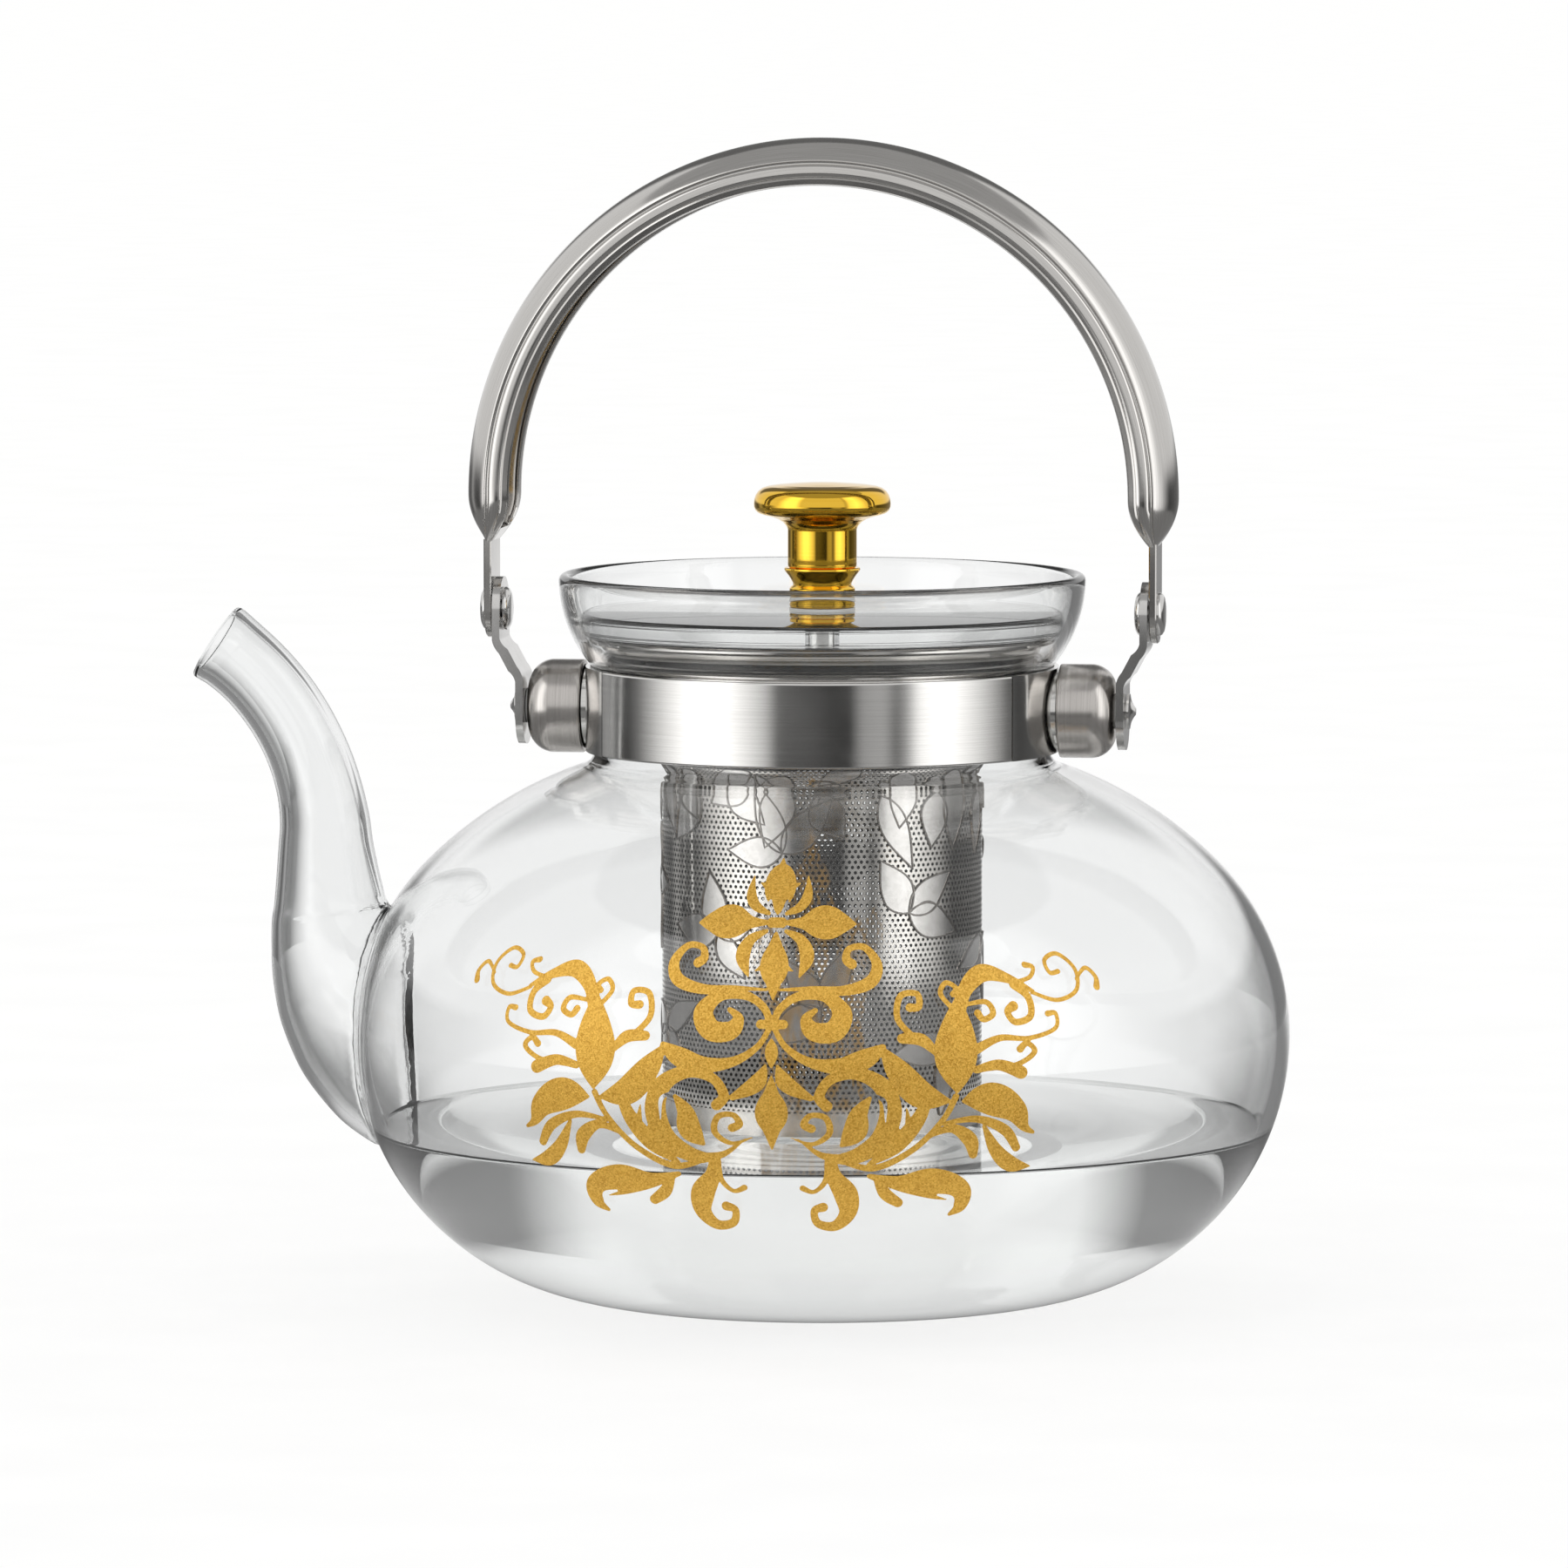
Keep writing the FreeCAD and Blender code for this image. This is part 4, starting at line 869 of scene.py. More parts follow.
# ---------------------------------------------------------------- pivots at the sides
# A stud on each pad carries a domed cap of drawn sheet, a plain washer, the bracket's lower end
# and a round-headed screw. The cap's inner edge stands a hair off the band.
PIVOT_HEIGHT = 100.7
CAP_INNER, CAP_OUTER = 40.9, 50.4
CAP_RADIUS, CAP_ROUND, CAP_SHEET = 8.0, 4.2, 0.8
STUD_RADIUS = 3.0
SIDES = (("left", -1), ("right", 1))
satin_steel = metal("satin_steel", (0.47, 0.445, 0.42), (0.60, 0.575, 0.55), 0.20, 0.30, 0.000002,
                    (5000, 50, 50))
polished_steel = metal("polished_steel", (0.60, 0.59, 0.575), (0.70, 0.69, 0.675), 0.12, 0.20, 0.000001,
                       (400, 400, 400))
cap_middle = CAP_RADIUS - CAP_ROUND
cap_profile = ([(STUD_RADIUS, CAP_OUTER)] + arc(cap_middle, CAP_OUTER - CAP_ROUND, CAP_ROUND, 90, 0, 20)
               + [(CAP_RADIUS, CAP_INNER + 0.3), (CAP_RADIUS - 0.1, CAP_INNER + 0.08),
                  (CAP_RADIUS - 0.35, CAP_INNER),
                  (CAP_RADIUS - CAP_SHEET, CAP_INNER)]
               + arc(cap_middle, CAP_OUTER - CAP_ROUND, CAP_ROUND - CAP_SHEET, 0, 90, 20)
               + [(STUD_RADIUS, CAP_OUTER - CAP_SHEET)])
for word, side in SIDES:
    finished(lathe(f"boss_cap_{word}_shell", supported(cap_profile), satin_steel, 128, 32.0, side,
                   PIVOT_HEIGHT),
             "pot", "satin_steel", f"boss_cap_{word}")
    smoothed(f"pivot_stud_{word}", "pot", "polished_steel", polished_steel)
    smoothed(f"end_screw_{word}", "pot", "polished_steel", polished_steel)
    smoothed(f"pivot_washer_{word}", "pot", "nylon", liner_silicone)


# ---------------------------------------------------------------- brackets
# An S-shaped strap of thick polished steel on each side joins the pivot to the handle. On the real pot
# it turns on the pivot's screw, and the handle folds on the rivet at its top.
for word, side in SIDES:
    smoothed(f"bracket_{word}", "brackets", "polished_steel", polished_steel, 24.0)


# ---------------------------------------------------------------- handle
# The bail is one strip rolled to a channel with a crowned back, a bead pressed along each flank and
# lips turned in. Each end is squeezed flat to a strap, which a rivet holds to its bracket.
BOW_HEIGHT, BOW_OUTER = 137.0, 61.0
TAIL_HEIGHT, POCKET_LOW = 129.0, 131.3
STRAP_IN, STRAP_OUT, STRAP_HALF = 56.4, 57.7, 5.0
HINGE_HEIGHT = 117.3
BOW_STEPS, TAPER_STEPS = 144, 14
CROWN = 9.0
CROWN_STEPS = 12


def half_section():
    """Half of the channel's outline from the middle of its back to the middle of its inside, as
    (half width, depth), beside what each point comes to where the end is squeezed flat."""
    rows = []
    for step in range(CROWN_STEPS + 1):
        a = math.radians(52.5 * step / CROWN_STEPS)
        rows.append((CROWN * math.sin(a), CROWN * (1 - math.cos(a)), STRAP_HALF * step / CROWN_STEPS * 0.96,
                     0.3 * (step / CROWN_STEPS) ** 2))
    rows += [(7.22, 3.72, 4.88, 0.33), (7.0, 3.92, 4.92, 0.36), (6.92, 4.12, 4.95, 0.39),
             (6.98, 4.34, 4.98, 0.43),
             (7.26, 4.54, 5.0, 0.5), (7.46, 4.9, 5.0, 0.6), (7.5, 5.8, 5.0, 0.75), (7.44, 6.3, 5.0, 0.9),
             (7.22, 6.58, 5.0, 1.05), (7.42, 6.9, 4.95, 1.2), (7.32, 7.72, 4.8, 1.3), (6.8, 8.0, 4.4, 1.3),
             (6.1, 7.9, 4.0, 1.3), (5.92, 7.6, 3.8, 1.28), (5.95, 7.25, 3.7, 1.2), (6.15, 7.05, 3.6, 1.1),
             (6.42, 6.9, 3.55, 1.0), (6.5, 6.5, 3.5, 0.9), (6.5, 5.2, 3.5, 0.75), (6.46, 4.5, 3.45, 0.7)]
    for step in range(CROWN_STEPS, -1, -1):
        a = math.radians(53 * step / CROWN_STEPS)
        rows.append((8 * math.sin(a), CROWN - 8 * math.cos(a), 3.4 * step / CROWN_STEPS, 0.62))
    return rows


half = half_section()
rows = half + [(-w, d, -fw, fd) for w, d, fw, fd in half[-2:0:-1]]
LIP_INSIDE = CROWN_STEPS + 16
POCKET_INWARD = 8.0
middle_row = len(half) - 1
points, faces = [], []
run = 0.0
stations = []
for step in range(TAPER_STEPS + 1):
    stations.append(("left", step / TAPER_STEPS))
for step in range(1, BOW_STEPS):
    stations.append(("bow", step / BOW_STEPS))
for step in range(TAPER_STEPS, -1, -1):
    stations.append(("right", step / TAPER_STEPS))
for place, t in stations:
    for index, (width, depth, flat_width, flat_depth) in enumerate(rows):
        if place == "bow":
            a = math.pi * (1 - t)
            out = BOW_OUTER - depth
            points.append((out * math.cos(a), width, BOW_HEIGHT + out * math.sin(a)))
            continue
        side = -1 if place == "left" else 1
        ease = 1 - (1 - t) ** 2
        squeezed = STRAP_OUT - flat_depth
        up = TAIL_HEIGHT + (BOW_HEIGHT - TAIL_HEIGHT) * t
        inside = abs(index - middle_row) <= middle_row - LIP_INSIDE
        across = squeezed + (BOW_OUTER - depth - squeezed) * ease
        if inside and up < POCKET_LOW:
            across = STRAP_IN + (BOW_OUTER - POCKET_INWARD - STRAP_IN) * ease
        points.append((side * across, flat_width + (width - flat_width) * ease, up))
count = len(rows)
for row in range(len(stations) - 1):
    for i in range(count):
        here, there = row * count + i, row * count + (i + 1) % count
        faces.append((here, here + count, there + count, there))
faces.append(tuple(range(count)))
faces.append(tuple(range((len(stations) - 1) * count, len(stations) * count)))
TAB_OVERLAP = 0.4
for side in (-1, 1):
    first = len(points)
    outline = ([(STRAP_HALF, TAIL_HEIGHT + TAB_OVERLAP)] + [(-STRAP_HALF, TAIL_HEIGHT + TAB_OVERLAP)]
               + [(STRAP_HALF * math.cos(math.radians(a)),
                   HINGE_HEIGHT + STRAP_HALF * math.sin(math.radians(a)))
                  for a in range(180, 361, 6)])
    edge = 0.2
    for across, shrink in ((STRAP_IN, edge), (STRAP_IN + edge, 0), (STRAP_OUT - edge, 0), (STRAP_OUT, edge)):
        points += [(side * across, y * (1 - shrink / STRAP_HALF), max(z, HINGE_HEIGHT + (z - HINGE_HEIGHT)
                    * (1 - shrink / STRAP_HALF))) for y, z in outline]
    ring = len(outline)
    for layer in range(3):
        for i in range(ring):
            here, there = first + layer * ring + i, first + layer * ring + (i + 1) % ring
            faces.append((here, here + ring, there + ring, there))
    faces.append(tuple(range(first, first + ring)))
    faces.append(tuple(range(first + 3 * ring, first + 4 * ring)))
handle_steel = metal("handle_steel", (0.50, 0.485, 0.465), (0.64, 0.625, 0.605), 0.11, 0.19, 0.000001,
                     (60, 5000, 1), along_piece=True)
handle_mesh = bpy.data.meshes.new("bail_bow")
handle_mesh.from_pydata([[value * MM for value in point] for point in points], [], faces)
own_map = handle_mesh.uv_layers.new(name="UVMap")
widths = [0.0]
for i in range(1, count):
    widths.append(widths[-1] + math.hypot(rows[i][0] - rows[i - 1][0], rows[i][1] - rows[i - 1][1]))
for loop in handle_mesh.loops:
    index = loop.vertex_index
    row, i = divmod(index, count)
    if row < len(stations):
        own_map.data[loop.index].uv = (row * 1.35 * MM, widths[i] * MM)
    else:
        point = points[index]
        own_map.data[loop.index].uv = (point[2] * MM, point[1] * MM)
work = bmesh.new()
work.from_mesh(handle_mesh)
bmesh.ops.remove_doubles(work, verts=work.verts, dist=1e-7)
bmesh.ops.recalc_face_normals(work, faces=work.faces)
work.to_mesh(handle_mesh)
work.free()
smooth(handle_mesh, 38.0)
finished(new_piece("bail_bow", handle_mesh, handle_steel), "bail", "polished_steel", "handle_bail")

RIVET_HEAD, RIVET_SHANK = 3.7, 1.5
rivet_profile = [(0, 53.6), (2.0, 53.62), (2.9, 53.78), (3.45, 54.08), (RIVET_HEAD, 54.45), (RIVET_HEAD, 54.7),
                 (RIVET_SHANK, 54.7), (RIVET_SHANK, STRAP_OUT), (RIVET_HEAD, STRAP_OUT), (RIVET_HEAD, 57.95),
                 (3.45, 58.32), (2.9, 58.62), (2.0, 58.78), (0, 58.8)]
for word, side in SIDES:
    finished(lathe(f"hinge_rivet_{word}_head", rivet_profile, polished_steel, 64, 50.0, side, HINGE_HEIGHT),
             "bail", "polished_steel", f"hinge_rivet_{word}")


# ---------------------------------------------------------------- infuser collar and foot
# The infuser hangs by a rolled flange under the lid. Its collar is spun sheet, drawn in below to
# the basket, and the basket's foot is a shallow pressed cup.
collar_steel = metal("collar_steel", (0.60, 0.58, 0.555), (0.72, 0.70, 0.68), 0.05, 0.11, 0.0000015,
                     (40, 40, 5000))
collar_profile = ([(27.3, 93.6), (27.9, 93.6), (27.9, 98.2), (28.2, 98.6), (34.5, 101.0)]
                  + arc(34.9, 102.5, 1.5, -75, 0, 8) + [(36.4, 109.2), (36.55, 109.8), (38.6, 112.7),
                                                        (39.1, 113.0)]
                  + [(39.9, 113.0), (40.1, 113.15), (40.1, 113.45), (39.9, 113.6), (38.8, 113.6),
                     (38.4, 113.45),
                     (35.95, 110.2), (35.8, 109.8), (35.8, 102.9), (35.4, 102.1), (34.4, 101.6), (28.0, 99.4),
                     (27.3, 98.9)])
finished(lathe("infuser_collar_spun", supported(collar_profile), collar_steel, 192, 34.0), "infuser",
         "basket_steel",
         "infuser_collar")
base_profile = [(0, 30.4), (25.2, 30.4), (26.2, 30.6), (26.65, 31.1), (26.8, 31.8), (26.8, 33.4), (26.3, 33.4),
                (26.3, 31.9), (26.0, 31.2), (25.2, 30.9), (0, 30.9)]
finished(lathe("infuser_base_cup", supported(base_profile), collar_steel, 128, 34.0), "infuser",
         "basket_steel", "infuser_base")


# ---------------------------------------------------------------- infuser basket
# The basket is an etched steel sheet rolled to a tube: fine round holes in a staggered field, left
# whole along its two edges and inside a scatter of leaves that have a pressed outline.
BASKET_RADIUS, BASKET_SHEET = 27.3, 0.5
BASKET_LOW, BASKET_HIGH = 30.0, 98.6
CELLS_ROUND = 168
FIELD_LOW, FIELD_HIGH = 33.6, 93.2
cell_pitch = 2 * math.pi * BASKET_RADIUS / CELLS_ROUND
row_pitch = cell_pitch * math.sqrt(3) / 2
leaf_random = random.Random(11)


def leaf_outline(across, up, length, width, turn, steps=18):
    """Pointed leaf, flat on the sheet, as points round its edge."""
    edge_points = []
    for step in range(2 * steps):
        t = step / steps
        sign = 1 if t <= 1 else -1
        t = t if t <= 1 else 2 - t
        a = t * length
        b = sign * width / 2 * math.sin(math.pi * t ** 0.8) * (1 - 0.25 * t)
        edge_points.append((across + a * math.cos(turn) - b * math.sin(turn),
                            up + a * math.sin(turn) + b * math.cos(turn)))
    return edge_points


around_sheet = 2 * math.pi * BASKET_RADIUS
TOP_LEAVES = 30
leaves = []
SPRAY_HEIGHTS = (62, 76, 50, 70, 44, 80, 57, 72, 47, 64, 78, 52, 68, 45)
for spray, height in enumerate(SPRAY_HEIGHTS):
    across = (spray + leaf_random.uniform(-0.25, 0.25)) * around_sheet / len(SPRAY_HEIGHTS)
    first_turn = leaf_random.uniform(0, 2 * math.pi)
    for petal in range(leaf_random.choice((2, 3, 4))):
        turn = first_turn + petal * math.radians(72) + leaf_random.uniform(-0.2, 0.2)
        leaves.append(leaf_outline(across, height, leaf_random.uniform(9, 13), leaf_random.uniform(4.8, 6.6),
                                   turn))
for index in range(TOP_LEAVES):
    across = (index + leaf_random.uniform(-0.3, 0.3)) * around_sheet / TOP_LEAVES
    leaves.append(leaf_outline(across, FIELD_HIGH - leaf_random.uniform(0.0, 6.0), leaf_random.uniform(8, 14),
                               leaf_random.uniform(5.0, 7.0), math.radians(leaf_random.uniform(-150, -30))))


def inside_leaves(xs, ys):
    """Mask of the points that lie in a leaf, on the sheet joined end to end."""
    hit = np.zeros(xs.shape, bool)
    for leaf in leaves:
        for shift in (-around_sheet, 0, around_sheet):
            odd = np.zeros(xs.shape, bool)
            x0, y0 = leaf[-1]
            for x1, y1 in leaf:
                crosses = (y1 > ys) != (y0 > ys)
                if y1 != y0:
                    odd ^= crosses & (xs < (x0 - x1) * (ys - y1) / (y0 - y1) + x1 + shift)
                x0, y0 = x1, y1
            hit |= odd
    return hit


def basket_tree():
    """Node tree: a cell on each point, with a hole or plain, then merged, thickened and rolled up."""
    tree = bpy.data.node_groups.new("perforated_sheet", "GeometryNodeTree")
    for label, kind, value in (("Geometry", "NodeSocketGeometry", None), ("Cell Radius", FLOAT, 0.5),
                               ("Hole Share", FLOAT, 0.55), ("Sheet", FLOAT, 0.5), ("Tube Radius", FLOAT, 27.3),
                               ("Material", "NodeSocketMaterial", None)):
        socket = tree.interface.new_socket(label, in_out="INPUT", socket_type=kind)
        if value is not None:
            socket.default_value = value
    tree.interface.new_socket("Geometry", in_out="OUTPUT", socket_type="NodeSocketGeometry")
    add = nodes_of(tree)
    given = add("NodeGroupInput").outputs
    cell = add("GeometryNodeMeshCircle", {"Vertices": 6, "Radius": given["Cell Radius"]}, fill_type="NGON")
    quarter = add("GeometryNodeTransform", {"Geometry": cell.outputs["Mesh"], "Rotation": (0, 0, math.pi / 6)})
    inset = add("GeometryNodeExtrudeMesh", {"Mesh": quarter.outputs["Geometry"], "Offset Scale": 0.0},
                mode="FACES")
    hole = add("GeometryNodeScaleElements",
               {"Geometry": inset.outputs["Mesh"], "Selection": inset.outputs["Top"],
                                             "Scale": given["Hole Share"]})
    holed = add("GeometryNodeDeleteGeometry", {"Geometry": hole.outputs["Geometry"],
                                               "Selection": inset.outputs["Top"]}, domain="FACE")
    plain_mark = add("GeometryNodeInputNamedAttribute", {"Name": "plain"}, data_type="BOOLEAN")
    both = add("GeometryNodeJoinGeometry")
    for source, selection in ((holed.outputs["Geometry"], False), (quarter.outputs["Geometry"], True)):
        flag = plain_mark.outputs["Attribute"]
        if not selection:
            flag = add("FunctionNodeBooleanMath", {0: flag}, operation="NOT").outputs[0]
        spread = add("GeometryNodeInstanceOnPoints", {"Points": given["Geometry"], "Selection": flag,
                                                      "Instance": source})
        tree.links.new(spread.outputs["Instances"], both.inputs["Geometry"])
    real = add("GeometryNodeRealizeInstances", {"Geometry": both.outputs["Geometry"]})
    joined = add("GeometryNodeMergeByDistance", {"Geometry": real.outputs["Geometry"], "Distance": 0.00004})
    flipped = add("GeometryNodeFlipFaces", {"Mesh": joined.outputs["Geometry"]})
    thick = add("GeometryNodeExtrudeMesh", {"Mesh": joined.outputs["Geometry"], "Offset": (0.0, 0.0, 1.0),
                                            "Offset Scale": given["Sheet"], "Individual": False}, mode="FACES")
    shell = add("GeometryNodeJoinGeometry")
    tree.links.new(flipped.outputs["Mesh"], shell.inputs["Geometry"])
    tree.links.new(thick.outputs["Mesh"], shell.inputs["Geometry"])
    closed = add("GeometryNodeMergeByDistance", {"Geometry": shell.outputs["Geometry"], "Distance": 0.00001})
    flat = add("ShaderNodeSeparateXYZ", {"Vector": add("GeometryNodeInputPosition").outputs["Position"]})
    inner = add("ShaderNodeMath", {0: given["Tube Radius"], 1: given["Sheet"]}, operation="SUBTRACT")
    radius = add("ShaderNodeMath", {0: inner.outputs[0], 1: flat.outputs["Z"]}, operation="ADD")
    angle = add("ShaderNodeMath", {0: flat.outputs["X"], 1: given["Tube Radius"]}, operation="DIVIDE")
    cosine = add("ShaderNodeMath", {0: angle.outputs[0]}, operation="COSINE")
    sine = add("ShaderNodeMath", {0: angle.outputs[0]}, operation="SINE")
    east = add("ShaderNodeMath", {0: radius.outputs[0], 1: cosine.outputs[0]}, operation="MULTIPLY")
    north = add("ShaderNodeMath", {0: radius.outputs[0], 1: sine.outputs[0]}, operation="MULTIPLY")
    rolled = add("ShaderNodeCombineXYZ", {"X": east.outputs[0], "Y": north.outputs[0], "Z": flat.outputs["Y"]})
    tubed = add("GeometryNodeSetPosition",
                {"Geometry": closed.outputs["Geometry"], "Position": rolled.outputs[0]})
    painted = add("GeometryNodeSetMaterial",
                  {"Geometry": tubed.outputs["Geometry"], "Material": given["Material"]})
    add("NodeGroupOutput", {"Geometry": painted.outputs["Geometry"]})
    return tree


def made_by(tree, base, values):
    """Plain mesh that a node tree makes from a base object, with its inputs set by name."""
    modifier = base.modifiers.new("made", "NODES")
    modifier.node_group = tree
    for item in tree.interface.items_tree:
        if item.item_type == "SOCKET" and item.in_out == "INPUT" and item.name in values:
            modifier[item.identifier] = values[item.name]
    made = bpy.data.meshes.new_from_object(base.evaluated_get(bpy.context.evaluated_depsgraph_get()))
    base.modifiers.clear()
    bpy.data.objects.remove(base)
    return made


basket_steel = metal("basket_steel", (0.60, 0.575, 0.54), (0.74, 0.715, 0.68), 0.05, 0.11, 0.0000003,
                     (700, 700, 700))
tree = basket_steel.node_tree
add = nodes_of(tree)
# Painted shade: below the outer face, the holes' walls and the tube's inside are painted near black, for the
# shade inside the basket.
from_axis = add("ShaderNodeVectorMath", {0: object_place(add, (1, 1, 0))}, operation="LENGTH")
hole_shade_mask = add("ShaderNodeMapRange", {"Value": from_axis.outputs["Value"], "From Min": (BASKET_RADIUS - 0.4) * MM,
                                   "From Max": (BASKET_RADIUS - 0.1) * MM})
grain_node = next(node for node in tree.nodes if node.type == "GROUP")
hole_shaded_colour = add("ShaderNodeMix", {0: hole_shade_mask.outputs["Result"], 6: (0.07, 0.062, 0.055, 1),
                                7: grain_node.outputs["Color"]}, data_type="RGBA")
tree.links.new(hole_shaded_colour.outputs[2], tree.nodes["Principled BSDF"].inputs["Base Color"])
sheet_tree = basket_tree()
field_rows = int((FIELD_HIGH - FIELD_LOW) / row_pitch)
SECTORS = 3
basket_pieces = []
for sector in range(SECTORS):
    xs, ys = [], []
    for row in range(field_rows):
        for column in range(CELLS_ROUND // SECTORS):
            xs.append((column + sector * (CELLS_ROUND // SECTORS) + 0.5 * (row % 2)) * cell_pitch)
            ys.append(FIELD_LOW + (row + 0.6) * row_pitch)
    xs, ys = np.array(xs), np.array(ys)
    plain = inside_leaves(xs, ys)
    points_mesh = bpy.data.meshes.new("cells")
    points_mesh.from_pydata([(x * MM, y * MM, 0) for x, y in zip(xs, ys)], [], [])
    mark = points_mesh.attributes.new("plain", "BOOLEAN", "POINT")
    mark.data.foreach_set("value", plain)
    base = new_piece("cells", points_mesh)
    mesh = made_by(sheet_tree, base, {"Cell Radius": cell_pitch / math.sqrt(3) * MM, "Hole Share": 0.55,
                                      "Sheet": BASKET_SHEET * MM, "Tube Radius": BASKET_RADIUS * MM,
                                      "Material": basket_steel})
    mesh.name = f"basket_field_{sector}"
    smooth(mesh, 40.0)
    basket_pieces.append(new_piece(mesh.name, mesh))
for piece in basket_pieces:
    finished(piece, "infuser", "basket_steel")
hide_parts("infuser_tube")
for name, low, high in (("basket_top_band", FIELD_HIGH - 0.6, BASKET_HIGH),
                        ("basket_bottom_band", BASKET_LOW, FIELD_LOW + 0.6)):
    profile = [(BASKET_RADIUS - BASKET_SHEET, low), (BASKET_RADIUS - 0.12, low), (BASKET_RADIUS, low + 0.12),
               (BASKET_RADIUS, high - 0.12), (BASKET_RADIUS - 0.12, high), (BASKET_RADIUS - BASKET_SHEET, high)]
    finished(lathe(name, supported(profile), basket_steel, 192), "infuser", "basket_steel")


def rolled(x, y, rise):
    """Place on the tube for a place on the flat sheet, raised off its outer face."""
    a = x / BASKET_RADIUS
    return ((BASKET_RADIUS + rise) * math.cos(a), (BASKET_RADIUS + rise) * math.sin(a), y)


# The leaves stand a little proud of the holes as smooth plates, and a bead runs round each of them.
LEAF_ACROSS = 5
LEAF_RISES = (0.06, 0.08, 0.10, 0.12, 0.14)
LINE_WIDTH, LINE_RISE = 0.46, 0.30
leaf_faces, bead_faces, leaf_points, bead_points = [], [], [], []
for number, leaf in enumerate(leaves):
    kept = [(x, min(max(y, BASKET_LOW + 3.0), FIELD_HIGH + 1.5)) for x, y in leaf]
    total = len(kept)
    rise = LEAF_RISES[number % len(LEAF_RISES)]
    layers = []
    for lift in (rise, -0.05):
        layers.append(len(leaf_points))
        for k in range(total // 2 + 1):
            (xa, ya), (xb, yb) = kept[k], kept[-k]
            leaf_points += [rolled(xa + (xb - xa) * j / LEAF_ACROSS, ya + (yb - ya) * j / LEAF_ACROSS, lift)
                            for j in range(LEAF_ACROSS + 1)]
    upper, lower = layers
    width = LEAF_ACROSS + 1
    for k in range(total // 2):
        for j in range(LEAF_ACROSS):
            a = k * width + j
            leaf_faces.append((upper + a, upper + a + 1, upper + a + width + 1, upper + a + width))
            leaf_faces.append((lower + a, lower + a + width, lower + a + width + 1, lower + a + 1))
        for a in (k * width, k * width + LEAF_ACROSS):
            leaf_faces.append((upper + a, upper + a + width, lower + a + width, lower + a))
    first = len(bead_points)
    for i, (x, y) in enumerate(kept):
        (xa, ya), (xb, yb) = kept[i - 1], kept[(i + 1) % total]
        long = math.hypot(xb - xa, yb - ya) or 1.0
        nx, ny = -(yb - ya) / long, (xb - xa) / long
        bead_points += [rolled(x + nx * side, y + ny * side, up) for side, up in
                        ((-LINE_WIDTH / 2, -0.1), (-LINE_WIDTH / 4, LINE_RISE), (LINE_WIDTH / 4, LINE_RISE),
                         (LINE_WIDTH / 2, -0.1))]
    for i in range(total):
        for k in range(4):
            here, there = first + i * 4 + k, first + i * 4 + (k + 1) % 4
            far, near = first + (i + 1) % total * 4 + (k + 1) % 4, first + (i + 1) % total * 4 + k
            bead_faces.append((here, near, far, there))
leaf_steel = metal("leaf_steel", (0.62, 0.60, 0.575), (0.74, 0.72, 0.70), 0.08, 0.16, 0.000002, (900, 900, 900))
# The beads are painted far darker than the sheet they are pressed from: painted shade along the leaves'
# outlines.
shaded_bead_steel = metal("shaded_bead_steel", (0.20, 0.185, 0.17), (0.34, 0.32, 0.30), 0.16, 0.28, 0.000001, (900, 900, 900))
for name, made_points, made_faces, steel in (("basket_leaf_plates", leaf_points, leaf_faces, leaf_steel),
                                             ("basket_leaf_beads", bead_points, bead_faces, shaded_bead_steel)):
    mesh = mesh_from(name, made_points, made_faces)
    smooth(mesh, 60.0)
    finished(new_piece(name, mesh, steel), "infuser", "basket_steel")


# ---------------------------------------------------------------- lid
# A thick clear glass disc with a fire-polished edge lies on the infuser's flange, sunk in the
# mouth. The knob's screw clamps it between two clear silicone washers.
LID_LOW, LID_HIGH, BORE = 113.8, 117.6, 2.0
lid_profile = ([(BORE, LID_LOW), (39.6, LID_LOW)] + arc(39.8, LID_LOW + 1.4, 1.4, -80, 0, 8)
               + arc(40.1, LID_HIGH - 1.1, 1.1, 0, 90, 8) + [(BORE, LID_HIGH)])
finished(lathe("lid_disc", lid_profile, clear_glass, 256, 50.0), "lid", "clear_glass", "lid_glass")
for word in ("lower", "upper"):
    smoothed(f"lid_washer_{word}", "lid", "clear_silicone", liner_silicone)


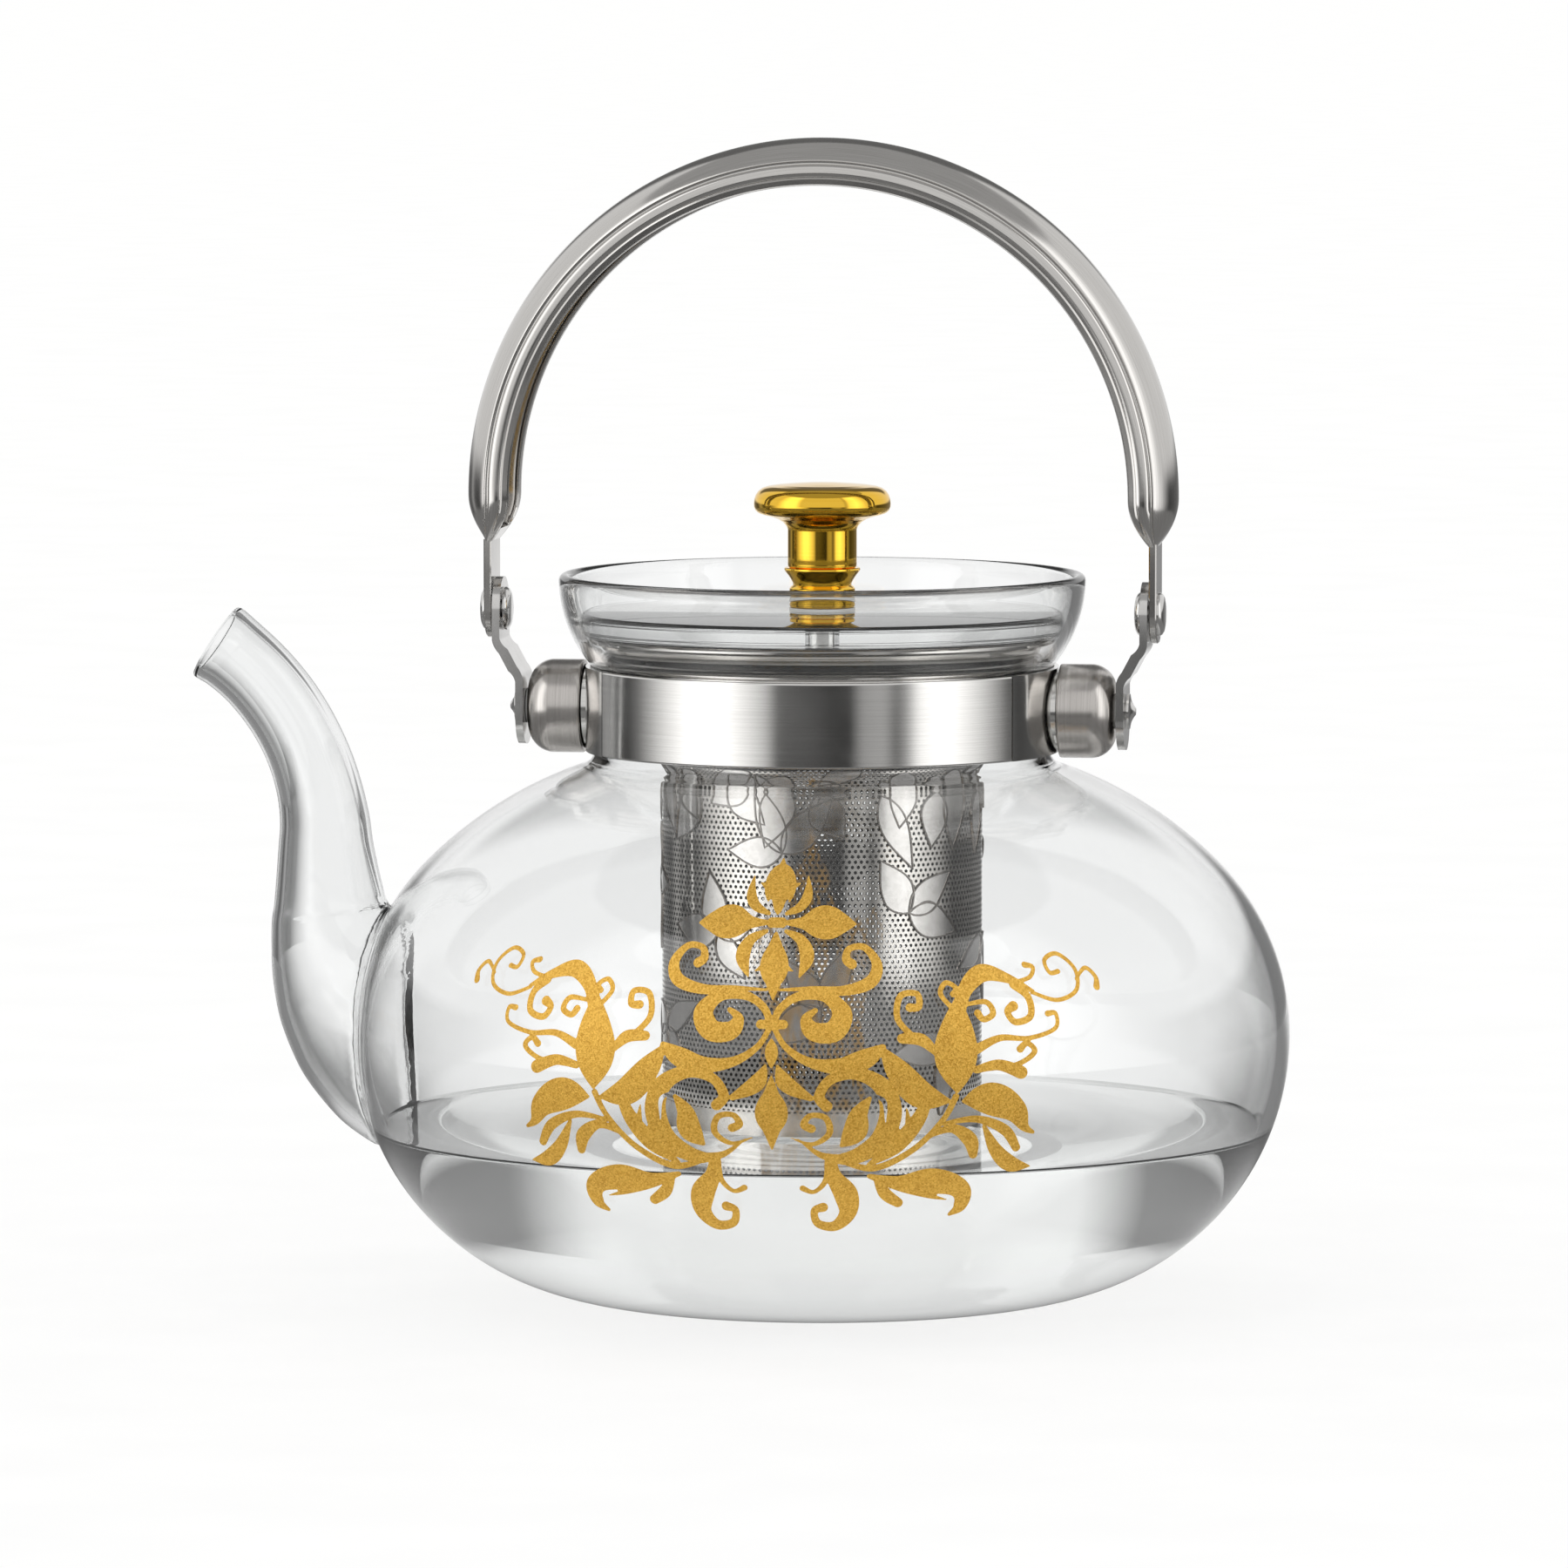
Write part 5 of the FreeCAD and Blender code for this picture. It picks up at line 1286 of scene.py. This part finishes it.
# ---------------------------------------------------------------- knob
# The mushroom knob and its ringed foot are turned brass with bright gold plate.
gold_plate = metal("gold_plate", (0.84, 0.50, 0.045), (0.92, 0.57, 0.065), 0.035, 0.07, 0.0000004,
                   (30, 30, 3000))
FOOT_LOW = 118.1
foot_profile = [(BORE, FOOT_LOW), (5.1, FOOT_LOW), (5.5, FOOT_LOW + 0.15), (5.6, FOOT_LOW + 0.5),
                (5.6, FOOT_LOW + 1.2), (5.3, FOOT_LOW + 1.45), (5.3, FOOT_LOW + 1.6), (5.6, FOOT_LOW + 1.9),
                (5.6, FOOT_LOW + 3.1), (5.4, FOOT_LOW + 3.4), (5.0, FOOT_LOW + 3.7), (5.05, FOOT_LOW + 4.1),
                (5.35, FOOT_LOW + 4.7), (5.9, FOOT_LOW + 5.5), (6.4, FOOT_LOW + 6.1), (6.5, FOOT_LOW + 6.35),
                (6.45, FOOT_LOW + 6.6), (6.3, FOOT_LOW + 6.7), (BORE, FOOT_LOW + 6.7)]
finished(lathe("knob_foot_rings", supported(foot_profile), gold_plate, 160, 28.0), "lid", "gold_plate",
         "knob_foot")
STEM_LOW, KNOB_TOP = 124.8, 139.3
knob_profile = ([(0, STEM_LOW + 6), (BORE, STEM_LOW + 6), (BORE, STEM_LOW), (5.6, STEM_LOW),
                 (5.85, STEM_LOW + 0.2),
                 (5.9, STEM_LOW + 0.5), (5.9, KNOB_TOP - 8.0)]
                + [(6.15, 131.9), (6.75, 132.55), (7.7, 133.1), (8.9, 133.5), (10.2, 133.85), (11.0, 134.15)]
                + [(11.45, 134.6), (11.68, 135.2), (11.7, 135.8), (11.6, 136.5), (11.35, 137.2), (10.9, 137.85),
                   (10.2, 138.35), (9.3, 138.65), (7.5, 138.9), (5.0, 139.1), (2.5, 139.25), (0, KNOB_TOP)])
finished(lathe("knob_turned", supported(knob_profile), gold_plate, 192, 32.0), "lid", "gold_plate", "knob")
smoothed("knob_screw", "lid", "polished_steel", polished_steel)


# ---------------------------------------------------------------- sizes
low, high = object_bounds()
